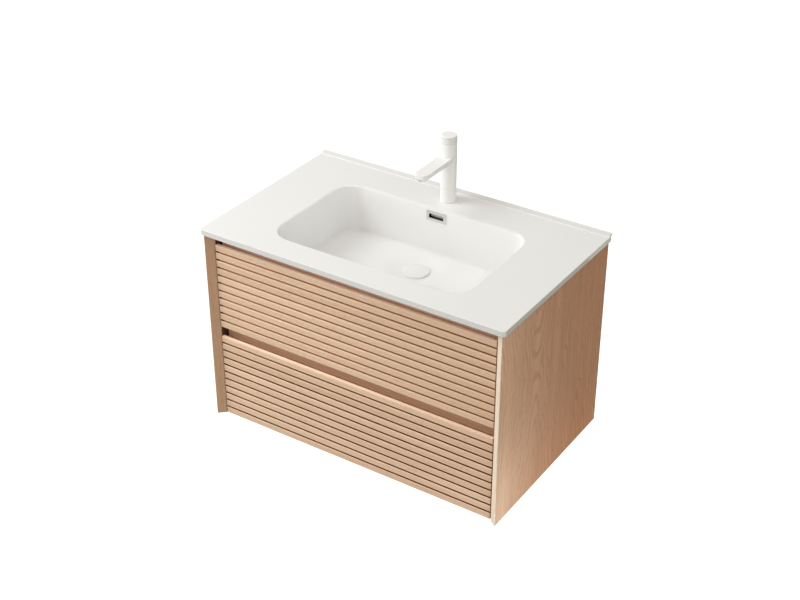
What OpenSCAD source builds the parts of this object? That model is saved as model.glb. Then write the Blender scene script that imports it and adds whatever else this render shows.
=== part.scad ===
// Wall-hung washstand: a ceramic basin worktop on a two-drawer oak cabinet with slatted fronts.
// Millimetres. X runs along the wall, Y points into the wall (the wall face is Y = 0), Z is up.
// The origin is the middle of the four wall-fixing holes. Modules draw with Z = 0 at the cabinet's
// underside, and placed() moves the finished piece to the origin.

/* [Worktop] */
// Width of the basin worktop, side to side
top_w = 800; // [720:10:1000]
// Depth of the worktop, from the wall to its front edge
top_d = 490; // [440:5:560]
// Thickness of the worktop plate
top_t = 14; // [12:1:20]
// Radius of the worktop's upright corners
top_corner_r = 9; // [5:1:20]
// Rounding of the worktop's top and bottom edges
top_edge_r = 2; // [1:0.5:4]
// How far the worktop stands out past each side panel
side_overhang = 8; // [2:1:15]
// How far the worktop stands out past the cabinet's front
front_overhang = 6; // [2:1:20]
// Thickness of the low upstand along the wall
upstand_t = 15; // [10:1:25]
// Height of the upstand above the worktop
upstand_h = 6; // [4:1:20]

/* [Bowl] */
// Width of the bowl's mouth
bowl_w = 506; // [420:2:560]
// Distance from the wall to the bowl's rear rim
bowl_from_wall = 110; // [108:1:130]
// Clearance between the bowl and the top front rail
bowl_rail_clear = 1; // [0.5:0.5:20]
// Radius of the bowl's upright corners
bowl_corner_r = 52; // [25:1:70]
// Depth of the bowl's flat floor below the worktop
bowl_depth = 118; // [90:1:122]
// Further fall of the floor to the drain
bowl_fall = 10; // [6:1:12]
// Thickness of the bowl's walls
bowl_wall = 12; // [8:1:12]
// Fillet between the bowl's walls and its floor
bowl_fillet = 5; // [4:1:28]
// Rounding of the bowl's rim
bowl_rim_r = 4; // [2:1:6]
// Distance from the wall to the drain's axis
drain_from_wall = 198; // [190:1:230]

/* [Overflow] */
// Width of the overflow slot
overflow_w = 39; // [25:1:45]
// Height of the overflow slot
overflow_h = 11; // [8:1:14]
// Depth of the slot's middle below the worktop
overflow_drop = 22; // [21:1:32]
// Width of the trim frame's face round the slot
overflow_face = 7; // [4:1:9]
// How far the trim frame stands out of the wall
overflow_proud = 2; // [1:0.5:3]
// Clear depth of the overflow duct
duct_gap = 6; // [5:1:8]
// Thickness of the duct's skin
duct_skin = 4; // [3:0.5:4.5]

/* [Cabinet] */
// Height of the cabinet
cab_h = 499; // [460:1:620]
// Thickness of the side panels
panel_t = 18; // [16:1:22]
// Depth of the bevel on the side panels' front edges
bevel_d = 14; // [6:1:20]
// Width of the square land left at the bevel's nose
bevel_land = 2; // [1:0.5:5]
// Thickness of the bottom panel
base_t = 16; // [15:1:19]
// Thickness of the two front rails
front_rail_t = 16; // [12:1:19]
// How far the mid front rail reaches down behind the lower front
rail_lap_below = 10; // [8:1:14]
// How far the mid front rail reaches up behind the upper front
rail_lap_above = 8; // [8:1:12]
// Width of the caps on the front rails' ends
rail_cap_w = 5; // [4:1:12]
// Thickness of the two back rails
back_rail_t = 15; // [12:1:16]
// Height of the upper back rail
upper_back_rail_h = 100; // [98:1:130]
// Height of the lower back rail
lower_back_rail_h = 84; // [70:1:120]
// Space kept between the back rails and the wall
wall_space = 16; // [15:1:17]

/* [Drawer fronts] */
// Number of slats on each front
slat_count = 11; // [7:1:15]
// Gap between two slats
slat_gap = 4.5; // [3:0.5:8]
// Thickness of the slats
slat_t = 8; // [5:1:10]
// Thickness of the board behind the slats
board_t = 12; // [12:1:16]
// Gap between each front and the side panels
front_side_gap = 2; // [1.5:0.5:4]
// Height of the lower front's bottom edge above the cabinet's underside
bottom_reveal = 2; // [0:1:6]
// Height of the finger gap between the fronts
mid_gap = 27; // [22:1:32]
// Height of the finger gap under the worktop
top_gap = 28; // [22:1:32]
// Gap between the fronts' backs and the rails
rail_clear = 2; // [1.5:0.5:3]

/* [Drawer boxes] */
// Clearance between the drawer boxes and the back rails
box_rear_clear = 19; // [10:1:60]
// Thickness of the drawer boxes' walls
box_wall = 12; // [10:1:16]
// Thickness of the drawer boxes' floors
box_floor_t = 8; // [6:1:12]
// Height of the floor's underside above the box's bottom edge
box_floor_up = 6; // [3:1:10]
// Clearance between the upper box and the bowl above it
box_bowl_clear = 18; // [8:1:40]
// Clearance between a box and the panel, rail or trap above or below it
box_clear = 5; // [4:1:7]
// Width of the cut-out round the trap
cutout_w = 200; // [160:10:260]
// Clearance between the trap and the front of the cut-out
cutout_clear = 24; // [15:1:40]
// Length of each drawer box that stays in the cabinet when the drawer is out
box_stays_in = 20; // [10:5:100]

/* [Runners] */
// Space for a runner on each side of a box
runner_space = 13; // [12.6:0.1:14]
// Height of the runners' outer members
runner_h = 45; // [42:1:48]
// Thickness of the runners' sheet steel
runner_sheet = 1.2; // [1:0.1:1.4]
// Diameter of the balls
ball_d = 2.6; // [2.4:0.1:2.8]
// Running clearance of the balls
ball_clear = 0.05; // [0.03:0.01:0.09]
// Height of the upper runners' centre above the upper box's bottom edge
upper_runner_up = 45; // [30:1:60]
// Height of the lower runners' centre above the lower box's bottom edge
lower_runner_up = 92; // [40:1:140]

/* [Tap] */
// Diameter of the tap's tower
tap_d = 38; // [36:1:40]
// Height of the tap above the worktop
tap_h = 170; // [150:1:220]
// Distance from the wall to the tower's axis
tap_from_wall = 59; // [57:1:60]
// Height of the spout's top above the worktop
spout_top = 118; // [100:1:130]
// Width of the spout
spout_w = 34; // [28:1:34]
// Thickness of the spout
spout_t = 12; // [12:1:16]
// Reach of the spout from the tower's axis
spout_reach = 127; // [100:1:150]
// Radius of the spout's tip corners
spout_tip_r = 12; // [6:1:14]
// Diameter of the aerator
aerator_d = 20; // [18:1:24]
// How far the aerator hangs below the spout
aerator_drop = 5; // [3:1:8]
// How far the tap's base laps over the edge of its hole
tap_lap = 1.5; // [1:0.5:2]
// Radius of the threaded inlets
inlet_r = 5; // [4:0.5:5.5]
// Depth of the threaded inlets
inlet_l = 12; // [10:1:16]
// Depth of the cartridge's seat below the joint under the tap's turning top
cartridge_depth = 46; // [40:1:60]
// Length of the tap's fixing stud below its base
stud_l = 42; // [36:1:60]

/* [Waste and trap] */
// Diameter of the drain cap
cap_d = 64; // [58:1:69]
// Lift of the drain cap
cap_lift = 8; // [5:1:10]
// Outside diameter of the waste body's thread
waste_d = 40; // [38:1:42]
// Length of the waste body below the drain
waste_l = 55; // [52:1:58]
// Wall thickness of the waste body
waste_wall = 3; // [2:0.5:4]
// Diameter of the trap's bottle
bottle_d = 62; // [56:1:68]
// Wall thickness of the trap's bottle and cup
bottle_wall = 3; // [2:0.5:4]
// Height of the cup that screws on under the bottle
cup_h = 32; // [26:1:40]
// Outside diameter of the pipes
pipe_d = 32; // [30:1:32]
// Wall thickness of the pipes
pipe_wall = 1.8; // [1.2:0.1:3]
// Height of the drain above the outlet pipe's axis
outlet_drop = 107; // [104:1:110]
// Length of the pipe's end beyond the wall face
outlet_stub = 25; // [15:1:60]
// Diameter of the wall rosette
rosette_d = 70; // [60:1:80]

/* [Wall hanging] */
// Distance from each side panel's inner face to its fixing holes
fixing_from_panel = 44; // [30:1:60]
// Distance between the upper and lower fixing holes
fixing_h = 32; // [28:1:36]
// Radius of the fixing holes
fixing_r = 3; // [2.5:0.5:4]
// Depth of the fixing holes' middle below the cabinet's top edge
hang_drop = 59; // [57:1:62]
// Thickness of the wall plates' sheet
plate_t = 2.5; // [2:0.5:3]
// Width of each wall plate
plate_w = 70; // [60:1:76]
// Height of each wall plate
plate_h = 50; // [44:1:60]
// Height of the lip along each wall plate's top
lip_h = 9; // [7:1:12]
// Distance from the wall to the lip's front face
lip_reach = 10.5; // [9:0.5:12]
// Width of the hanger bodies
hanger_w = 16; // [14:1:18]
// Depth of the hanger bodies
hanger_d = 44; // [40:1:60]
// Height of the hanger bodies
hanger_h = 50; // [44:1:60]
// Thickness of the hooks
hook_t = 3; // [2:0.5:4]

/* [Hidden] */
$fn = 96;
// How far joined solids reach into each other, and how far a cutter runs past a face
eps = 0.01;
over = 1;

// Colours
ceramic_white = [0.95, 0.95, 0.93];
slat_oak = [0.83, 0.70, 0.56];
panel_oak = [0.66, 0.51, 0.39];
rail_brown = [0.42, 0.30, 0.22];
box_grey = [0.86, 0.84, 0.80];
matt_white = [0.90, 0.89, 0.86];
steel = [0.72, 0.73, 0.75];
black_plastic = [0.08, 0.08, 0.08];
white_plastic = [0.93, 0.93, 0.92];

// Cabinet planes
cab_w = top_w - 2 * side_overhang;
inner_x = cab_w / 2 - panel_t;
cab_front = -(top_d - front_overhang);
slat_face = cab_front + bevel_d;
board_face = slat_face + slat_t;
board_back = board_face + board_t;
rail_face = board_back + rail_clear;
back_rail_y = -(wall_space + back_rail_t);
top_z = cab_h + top_t;

// Drawer fronts
front_w = 2 * (inner_x - front_side_gap);
front_h = (cab_h - top_gap - mid_gap - bottom_reveal) / 2;
lower_front_z = bottom_reveal;
upper_front_z = lower_front_z + front_h + mid_gap;
slat_pitch = (front_h + slat_gap) / slat_count;
slat_h = slat_pitch - slat_gap;

// Front rails
front_rail_h = rail_lap_below + mid_gap + rail_lap_above;
mid_rail_z = lower_front_z + front_h - rail_lap_below;
mid_rail_top = mid_rail_z + front_rail_h;
top_rail_z = cab_h - front_rail_h;

// Drain and waste
drain_y = -drain_from_wall;
drain_z = top_z - bowl_depth - bowl_fall;
bowl_front = rail_face + front_rail_t + bowl_rail_clear + bowl_wall;
bowl_l = -bowl_from_wall - bowl_front;
bowl_y = (bowl_front - bowl_from_wall) / 2;
bowl_bottom = drain_z - bowl_wall;
shell_fillet = bowl_fillet + bowl_wall / 2;
duct_y = -bowl_from_wall + bowl_wall;
duct_floor_h = 12;
duct_roof = 2;
drain_slack = 1;
frame_wall = 1;
slot_w = overflow_w + 2 * frame_wall;
slot_h = overflow_h + 2 * frame_wall;
boss_z = bowl_bottom - duct_floor_h - 2 * duct_skin;
boss_rim = 14;
boss_r = waste_d / 2 + boss_rim;
dish_r = 76;
flange_lap = 1.5;
flange_r = cap_d / 2 + flange_lap;
flange_t = 1.5;
waste_r = waste_d / 2;
waste_in = waste_r - waste_wall;
waste_bottom = drain_z - waste_l;
cap_gap = 1;
cap_edge = 1;
cap_crown = 4;
cap_stem_r = 4;
stem_fit = 0.05;
stem_below_guide = 3;
guide_t = 3;
guide_rim = 3;
guide_arm_w = 4;
guide_drop = 37;
guide_z = drain_z - guide_drop;
seal_t = 3;
seal_inset = 2;
backnut_t = 10;
backnut_rim = 12;

// Trap
outlet_h = drain_z - outlet_drop;
pipe_r = pipe_d / 2;
bottle_r = bottle_d / 2;
nut_h = 14;
nut_wall = 4;
nut_grip = 5;
nut_lip = 6;
socket_r = pipe_r + nut_wall;
socket_l = 17;
bottle_top = outlet_h + socket_r;
bottle_skirt = 8;
bottle_seam = outlet_h - socket_r - bottle_skirt;
neck_h = 8;
cup_bottom = bottle_seam - cup_h;
cup_collar_h = 12;
cup_collar_rim = 2.5;
tail_gap = 14;
tail_in_waste = 8;
outlet_socket_y = drain_y + bottle_r + socket_l;
collar_l = 4;
collar_rim = 1;
rosette_t = 8;
rosette_nose = 4;

// Drawer boxes: the upper one stays below the bowl, the lower one below the mid rail and the trap
box_x = inner_x - runner_space;
box_back = back_rail_y - box_rear_clear;
box_l = box_back - board_back;
travel = box_l - box_stays_in;
upper_box_z = mid_rail_top + box_clear;
upper_box_h = bowl_bottom - box_bowl_clear - upper_box_z;
lower_box_z = base_t + box_clear;
lower_box_h = min(mid_rail_z, cup_bottom) - box_clear - lower_box_z;
cutout_front = -(drain_from_wall + bottle_r + cutout_clear);

// Runners: distances in X from the panel's inner face, heights from the runner's centre
runner_in = runner_h / 2 - runner_sheet;
ball_lane = ball_d + 2 * ball_clear;
middle_h = runner_in - ball_lane;
middle_in = middle_h - runner_sheet;
inner_h = middle_in - ball_lane;
runner_end_gap = 2;
runner_l = box_l - runner_end_gap;
outer_lip = runner_space - 4;
middle_lip = runner_space - 2;
inner_lip = 7.5;
middle_web = 2 * runner_sheet;
outer_lane_x = middle_web + runner_sheet + 1.4;
inner_lane_x = runner_space - 5;
cage_w = 1.6;
cage_end_gap = 16;
cage_l = runner_l - travel / 2 - cage_end_gap;
cage_balls = 5;
strip_t = ball_lane - 0.7;
upper_runner_z = upper_box_z + upper_runner_up;
lower_runner_z = lower_box_z + lower_runner_up;
runner_screw_r = 1.9;
runner_screw_head_r = 3.5;
runner_screw_head_t = 0.8;
runner_screw_l = 12;
runner_screw_y = [board_back + 0.1 * box_l, board_back + 0.5 * box_l, board_back + 0.9 * box_l];

// Tap
tap_y = -tap_from_wall;
tap_r = tap_d / 2;
tap_hole_r = tap_r - tap_lap;
gasket_t = 1;
gasket_inset = 0.4;
gasket_lip = 2;
tap_base = top_z + gasket_t;
tap_seam = top_z + spout_top;
handle_gap = 0.4;
tower_wall = 3;
handle_wall = 4;
handle_bore = 20;
cartridge_r = tap_r - tower_wall;
cartridge_z = tap_seam - cartridge_depth;
cartridge_neck = 10;
cartridge_step = 3;
stem_r = 5;
stem_h = 27;
stem_top = tap_seam + stem_h;
spout_mid = tap_seam - spout_t / 2;
spout_skin = 3;
spout_wall = 1.5;
spout_stub_r = spout_t / 2 - 1;
spout_stub_l = tower_wall + 0.5;
spout_tip = tap_y - spout_reach;
aerator_inset = 1;
aerator_y = spout_tip + aerator_d / 2 + aerator_inset;
aerator_neck = 5;
aerator_step = 2;
inlet_x = 8;
inlet_wall = 1.4;
inlet_fore = 3;
inlet_y = tap_y - inlet_fore;
water_way_r = 3;
stud_r = 4;
stud_aft = 10;
stud_bite = 12;
stud_y = tap_y + stud_aft;
clamp_r = 25;
clamp_t = 3;
clamp_slack = 1;
mouth_past = 3;

// Hangers
hang_z = cab_h - hang_drop;
fixing_x = inner_x - fixing_from_panel;
plate_side_gap = 2;
plate_x = inner_x - plate_side_gap - plate_w / 2;
plate_top = hang_z + plate_h / 2;
lip_y = -lip_reach;
lip_top = plate_top + lip_h;
hook_h = 6;
hook_root = 16;
hook_bite = 2;
hook_slack = 1.5;
hook_x = inner_x - (hanger_w + hook_t) / 2;
notch_slack = 4;
notch_w = hanger_w + notch_slack;
notch_z = hang_z;
hanger_below_lip = 28;
hanger_z = lip_top - hanger_below_lip;
hanger_screw_r = 2.5;
hanger_screw_l = 13;
hanger_screw_head_r = 4;
hanger_screw_head_t = 2;
hanger_screw_below = 12;
hanger_screw_above = 14;
hanger_screw_z = [lip_top - hanger_screw_below, lip_top + hanger_screw_above];
hanger_peg_r = 2.5;
hanger_peg_l = 11;
hanger_peg_up = 8;
hanger_peg_back = 10;

// Joints between the side panels and what runs across: [y, z] points
dowel_r = 4;
dowel_in = 12;
dowel_l = 32;
back_rail_mid = back_rail_y + back_rail_t / 2;
base_joint_y = [for (share = [0.1, 0.5, 0.9]) rail_face + share * (-wall_space - rail_face)];
lower_joint_inset = 18;
upper_joint_inset = 8;
lower_joint_z = [base_t + lower_joint_inset, base_t + lower_back_rail_h - lower_joint_inset];
upper_rail_bottom = cab_h - upper_back_rail_h;
upper_joint_z = [upper_rail_bottom + upper_joint_inset, notch_z - upper_joint_inset];
dowel_points = concat(
    [for (y = base_joint_y) [y, base_t / 2]],
    [for (z = lower_joint_z) [back_rail_mid, z]],
    [for (z = upper_joint_z) [back_rail_mid, z]]
);
cam_r = 7.5;
cam_t = 11;
cam_from_panel = 34;
cam_bolt_r = 3;
cam_bolt_in = 11;
cam_base_y = [for (share = [0.25, 0.75]) rail_face + share * (-wall_space - rail_face)];
cam_lower_z = base_t + lower_back_rail_h / 2;
cam_upper_z = (upper_rail_bottom + notch_z) / 2;
cam_points = concat(
    [for (y = cam_base_y) [y, base_t / 2]],
    [[back_rail_mid, cam_lower_z], [back_rail_mid, cam_upper_z]]
);

// Screws that hold each drawer's front to its box
front_screw_r = 2;
front_screw_head_r = 4;
front_screw_head_t = 2.5;
front_screw_bite = 9;
side_screw_bite = box_wall - 3;
front_screw_x = [-0.8 * box_x, -0.3 * box_x, 0.3 * box_x, 0.8 * box_x];

module placed() {
    translate([0, 0, -hang_z]) children();
}

module both_sides() {
    children();
    mirror([1, 0, 0]) children();
}

// A rod along +X from x = 0
module rod_x(r, l) {
    rotate([0, 90, 0]) cylinder(r = r, h = l);
}

// A rod along +Y from y = 0
module rod_y(r, l) {
    rotate([-90, 0, 0]) cylinder(r = r, h = l);
}

module tube(r_out, r_in, h) {
    difference() {
        cylinder(r = r_out, h = h);
        translate([0, 0, -over]) cylinder(r = r_in, h = h + 2 * over);
    }
}

// Carries a half profile round a rectangle with round corners. The profile is drawn from the
// corner's axis outwards, with height along its second axis, and fills its full height at the axis.
module swept_rectangle(w, l, corner_r, z_low, h) {
    span_x = w - 2 * corner_r;
    span_y = l - 2 * corner_r;
    for (turn = [0, 1, 2, 3]) {
        sx = (turn == 0 || turn == 3) ? 1 : -1;
        sy = (turn < 2) ? 1 : -1;
        translate([sx * span_x / 2, sy * span_y / 2, 0])
            rotate(90 * turn)
                rotate_extrude(angle = 90) children();
    }
    for (turn = [0, 1, 2, 3]) {
        reach = (turn % 2 == 0) ? span_x / 2 : span_y / 2;
        run = (turn % 2 == 0) ? span_y : span_x;
        rotate(90 * turn)
            translate([reach, run / 2, 0])
                rotate([90, 0, 0])
                    linear_extrude(run) children();
    }
    translate([-span_x / 2, -span_y / 2, z_low]) cube([span_x, span_y, h]);
}

// Profile of the worktop's edge: a bar with both outer edges rounded
module top_edge_profile() {
    straight = top_corner_r - top_edge_r;
    square([straight, top_t]);
    translate([0, top_edge_r]) square([top_corner_r, top_t - 2 * top_edge_r]);
    for (z = [top_edge_r, top_t - top_edge_r])
        translate([straight, z]) circle(top_edge_r);
}

// Profile of a bowl: a wall that meets its floor in a fillet
module bowl_profile(r, fillet, h) {
    difference() {
        square([r, h]);
        difference() {
            translate([r - fillet, -eps]) square([fillet + eps, fillet + eps]);
            translate([r - fillet, fillet]) circle(fillet);
        }
    }
}

// Profile of the hollow in the bowl, with its rim rounded outwards
module bowl_hollow_profile() {
    bowl_profile(bowl_corner_r, bowl_fillet, bowl_depth + 1);
    translate([bowl_corner_r, bowl_depth - bowl_rim_r])
        difference() {
            square([bowl_rim_r, bowl_rim_r + 1]);
            translate([bowl_rim_r, 0]) circle(bowl_rim_r);
        }
}

module bowl_hollow() {
    translate([0, bowl_y, top_z - bowl_depth])
        swept_rectangle(bowl_w, bowl_l, bowl_corner_r, 0, bowl_depth + 1)
            bowl_hollow_profile();
    translate([0, drain_y, drain_z])
        cylinder(r1 = flange_r + 1, r2 = dish_r, h = bowl_fall + eps);
}

// The outside of the bowl's shell, as a solid
module bowl_shell() {
    shell_h = cab_h - bowl_bottom;
    translate([0, bowl_y, bowl_bottom])
        swept_rectangle(bowl_w + 2 * bowl_wall, bowl_l + 2 * bowl_wall,
                        bowl_corner_r + bowl_wall, 0, shell_h)
            bowl_profile(bowl_corner_r + bowl_wall, shell_fillet, shell_h);
}

module drain_bore() {
    translate([0, drain_y, boss_z - over])
        cylinder(r = waste_r + drain_slack, h = drain_z - boss_z + 2 * over);
}

// The overflow duct's hollow: down behind the bowl and forward under its floor to the drain
module duct_hollow() {
    low_z = boss_z + duct_skin;
    back_y = duct_y + duct_gap;
    translate([-overflow_w / 2, duct_y - eps, low_z])
        cube([overflow_w, duct_gap + eps, cab_h - duct_roof - low_z]);
    translate([-overflow_w / 2, drain_y, low_z])
        cube([overflow_w, back_y - drain_y, duct_floor_h]);
}

module upstand() {
    soft = min(3, upstand_h / 2);
    translate([-(top_w / 2 - top_edge_r), 0, top_z - 1])
        rotate([90, 0, 90])
            linear_extrude(top_w - 2 * top_edge_r) {
                translate([-upstand_t, 0]) square([upstand_t, upstand_h + 1 - soft]);
                translate([-upstand_t + soft, 0]) square([upstand_t - soft, upstand_h + 1]);
                translate([-upstand_t + soft, upstand_h + 1 - soft]) circle(soft);
            }
}

// The basin is one casting. Its plate, its bowl and its overflow duct are three solids that meet
// face to face, so that each keeps a simple shape round the space it encloses.
module basin_plate() {
    color(ceramic_white) placed() difference() {
        union() {
            translate([0, -top_d / 2, cab_h])
                swept_rectangle(top_w, top_d, top_corner_r, 0, top_t) top_edge_profile();
            upstand();
        }
        bowl_hollow();
        translate([0, tap_y, cab_h - over]) cylinder(r = tap_hole_r, h = top_t + 2 * over);
    }
}

module basin_bowl() {
    color(ceramic_white) placed() difference() {
        bowl_shell();
        bowl_hollow();
        drain_bore();
        translate([-slot_w / 2, -bowl_from_wall - over, top_z - overflow_drop - slot_h / 2])
            cube([slot_w, bowl_wall + 2 * over, slot_h]);
    }
}

module basin_duct() {
    duct_w = overflow_w + 2 * duct_skin;
    back_y = duct_y + duct_gap + duct_skin;
    front_y = duct_y - shell_fillet;
    color(ceramic_white) placed() difference() {
        union() {
            translate([-duct_w / 2, front_y, boss_z]) cube([duct_w, back_y - front_y, cab_h - boss_z]);
            translate([-duct_w / 2, drain_y, boss_z])
                cube([duct_w, back_y - drain_y, bowl_bottom + over - boss_z]);
            translate([0, drain_y, boss_z]) cylinder(r = boss_r, h = bowl_bottom + over - boss_z);
        }
        bowl_shell();
        duct_hollow();
        drain_bore();
    }
}

module overflow_frame() {
    frame_w = overflow_w + 2 * overflow_face;
    frame_h = overflow_h + 2 * overflow_face;
    sleeve_l = bowl_wall - duct_roof;
    color(steel) placed()
        translate([0, -bowl_from_wall, top_z - overflow_drop])
            difference() {
                union() {
                    translate([-frame_w / 2, -overflow_proud, -frame_h / 2])
                        cube([frame_w, overflow_proud, frame_h]);
                    translate([-slot_w / 2, 0, -slot_h / 2]) cube([slot_w, sleeve_l, slot_h]);
                }
                translate([-overflow_w / 2, -overflow_proud - over, -overflow_h / 2])
                    cube([overflow_w, overflow_proud + sleeve_l + 2 * over, overflow_h]);
            }
}

module waste_body() {
    window_w = 12;
    window_z = boss_z + duct_skin;
    color(steel) placed()
        translate([0, drain_y, 0]) {
            difference() {
                union() {
                    translate([0, 0, drain_z]) cylinder(r = flange_r, h = flange_t);
                    translate([0, 0, waste_bottom]) cylinder(r = waste_r, h = waste_l + eps);
                }
                translate([0, 0, waste_bottom - over])
                    cylinder(r = waste_in, h = waste_l + flange_t + 2 * over);
                translate([-window_w / 2, 0, window_z])
                    cube([window_w, waste_d, duct_floor_h - duct_roof]);
            }
            translate([0, 0, guide_z]) difference() {
                union() {
                    cylinder(r = cap_stem_r + guide_rim, h = guide_t);
                    translate([-waste_in - over, -guide_arm_w / 2, 0])
                        cube([2 * (waste_in + over), guide_arm_w, guide_t]);
                }
                translate([0, 0, -over]) cylinder(r = cap_stem_r + stem_fit, h = guide_t + 2 * over);
            }
        }
}

module waste_seal() {
    color(black_plastic) placed()
        translate([0, drain_y, boss_z - seal_t]) tube(boss_r - seal_inset, waste_r, seal_t);
}

module waste_backnut() {
    color(white_plastic) placed()
        translate([0, drain_y, boss_z - seal_t - backnut_t])
            difference() {
                cylinder(r = waste_r + backnut_rim, h = backnut_t, $fn = 8);
                translate([0, 0, -over]) cylinder(r = waste_r, h = backnut_t + 2 * over);
            }
}

module waste_cap() {
    cap_z = drain_z + flange_t + cap_gap;
    cap_r = cap_d / 2;
    dome_r = (cap_r * cap_r + cap_crown * cap_crown) / (2 * cap_crown);
    stem_l = cap_z - guide_z + cap_lift + stem_below_guide;
    color(matt_white) placed()
        translate([0, drain_y, cap_z]) {
            cylinder(r = cap_r, h = cap_edge);
            translate([0, 0, cap_edge])
                intersection() {
                    translate([0, 0, cap_crown - dome_r]) sphere(dome_r, $fn = 360);
                    cylinder(r = cap_r, h = cap_crown + 1);
                }
            translate([0, 0, -stem_l]) cylinder(r = cap_stem_r, h = stem_l + eps);
        }
}

module trap_tailpiece() {
    tail_low = cup_bottom + tail_gap;
    color(white_plastic) placed()
        translate([0, drain_y, tail_low])
            tube(pipe_r, pipe_r - pipe_wall, waste_bottom + tail_in_waste - tail_low);
}

module trap_bottle() {
    bottle_h = bottle_top - bottle_seam;
    branch_l = bottle_r + socket_l;
    color(white_plastic) placed() difference() {
        union() {
            translate([0, drain_y, bottle_seam]) cylinder(r = bottle_r, h = bottle_h);
            translate([0, drain_y, bottle_top - over]) cylinder(r = socket_r, h = neck_h + over);
            translate([0, drain_y, outlet_h]) rod_y(socket_r, branch_l);
        }
        translate([0, drain_y, bottle_seam - over])
            cylinder(r = bottle_r - bottle_wall, h = bottle_h - bottle_wall + over);
        translate([0, drain_y, bottle_seam]) cylinder(r = pipe_r, h = bottle_h + neck_h + over);
        translate([0, drain_y, outlet_h]) rod_y(pipe_r, branch_l + over);
    }
}

module trap_cup() {
    color(white_plastic) placed()
        translate([0, drain_y, cup_bottom])
            difference() {
                union() {
                    cylinder(r = bottle_r, h = cup_h);
                    translate([0, 0, cup_h - cup_collar_h])
                        cylinder(r = bottle_r + cup_collar_rim, h = cup_collar_h, $fn = 12);
                }
                translate([0, 0, bottle_wall]) cylinder(r = bottle_r - bottle_wall, h = cup_h);
            }
}

// A union nut: its skirt goes over a threaded end and its lip closes on the pipe
module union_nut(thread_r) {
    difference() {
        cylinder(r = thread_r + nut_grip, h = nut_h, $fn = 12);
        translate([0, 0, -over]) cylinder(r = thread_r, h = nut_h - nut_lip + over);
        cylinder(r = pipe_r, h = nut_h + over);
    }
}

module trap_nuts() {
    color(white_plastic) placed() {
        translate([0, drain_y, waste_bottom + nut_h - nut_lip])
            mirror([0, 0, 1]) union_nut(waste_r);
        translate([0, drain_y, bottle_top]) union_nut(socket_r);
        translate([0, outlet_socket_y - nut_h + nut_lip, outlet_h])
            rotate([-90, 0, 0]) union_nut(socket_r);
    }
}

module trap_outlet_pipe() {
    start_y = drain_y + bottle_r;
    color(white_plastic) placed()
        translate([0, 0, outlet_h])
            difference() {
                union() {
                    translate([0, start_y, 0]) rod_y(pipe_r, outlet_stub - start_y);
                    translate([0, -collar_l, 0]) rod_y(pipe_r + collar_rim, collar_l);
                }
                translate([0, start_y - over, 0])
                    rod_y(pipe_r - pipe_wall, outlet_stub - start_y + 2 * over);
            }
}

module wall_rosette() {
    color(white_plastic) placed()
        translate([0, 0, outlet_h])
            difference() {
                translate([0, -rosette_t, 0])
                    rotate([-90, 0, 0])
                        cylinder(r1 = pipe_r + rosette_nose, r2 = rosette_d / 2, h = rosette_t);
                translate([0, -rosette_t - over, 0])
                    rod_y(pipe_r + collar_rim, rosette_t + 2 * over);
            }
}

// The tap's tower is a sleeve. Its core carries the cartridge and takes the stud and the inlets.
module tap_body() {
    color(matt_white) placed()
        difference() {
            translate([0, tap_y, tap_base]) tube(tap_r, cartridge_r, tap_seam - tap_base);
            translate([0, tap_y - tap_r - over, spout_mid]) rod_y(spout_stub_r, tap_r);
        }
}

module tap_core() {
    core_z = tap_base + inlet_l;
    color(steel) placed()
        difference() {
            translate([0, tap_y, core_z]) cylinder(r = cartridge_r, h = cartridge_z - core_z);
            for (side = [-1, 1])
                translate([side * inlet_x, inlet_y, core_z - over])
                    cylinder(r = water_way_r, h = cartridge_z - core_z + 2 * over);
            translate([0, stud_y, core_z - over]) cylinder(r = stud_r, h = stud_bite + over);
        }
}

module tap_inlets() {
    color(steel) placed()
        for (side = [-1, 1])
            translate([side * inlet_x, inlet_y, tap_base]) tube(inlet_r + inlet_wall, inlet_r, inlet_l);
}

module tap_spout() {
    flat_l = spout_reach - spout_tip_r;
    channel_r = spout_stub_r - spout_wall;
    pocket_r = aerator_d / 2 - aerator_step;
    color(matt_white) placed() difference() {
        union() {
            difference() {
                translate([0, 0, tap_seam - spout_t]) linear_extrude(spout_t) {
                    translate([-spout_w / 2, tap_y - flat_l]) square([spout_w, flat_l]);
                    translate([-spout_w / 2 + spout_tip_r, spout_tip])
                        square([spout_w - 2 * spout_tip_r, spout_reach]);
                    for (side = [-1, 1])
                        translate([side * (spout_w / 2 - spout_tip_r), spout_tip + spout_tip_r])
                            circle(spout_tip_r);
                }
                translate([0, tap_y, tap_seam - spout_t - over])
                    cylinder(r = tap_r, h = spout_t + 2 * over);
            }
            translate([0, tap_y - tap_r - over, spout_mid]) rod_y(spout_stub_r, spout_stub_l);
        }
        translate([0, aerator_y, spout_mid]) rod_y(channel_r, tap_y - aerator_y);
        translate([0, aerator_y, tap_seam - spout_t - over])
            cylinder(r = pocket_r, h = spout_t - spout_skin + over);
    }
}

module tap_aerator() {
    screen_t = 1.5;
    screen_z = 2;
    neck_top = aerator_drop + aerator_neck;
    ring_r = aerator_d / 2;
    hole_r = 0.9;
    color(steel) placed()
        translate([0, aerator_y, tap_seam - spout_t - aerator_drop])
            difference() {
                union() {
                    cylinder(r = ring_r, h = aerator_drop);
                    cylinder(r = ring_r - aerator_step, h = neck_top);
                }
                translate([0, 0, screen_z + screen_t])
                    cylinder(r = ring_r - 2 * aerator_step, h = neck_top);
                translate([0, 0, -over]) cylinder(r = ring_r - 1.5 * aerator_step, h = screen_z + over);
                for (turn = [0:5])
                    rotate(60 * turn)
                        translate([ring_r / 2.6, 0, 0]) cylinder(r = hole_r, h = neck_top);
                cylinder(r = hole_r, h = neck_top);
            }
}

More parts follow.
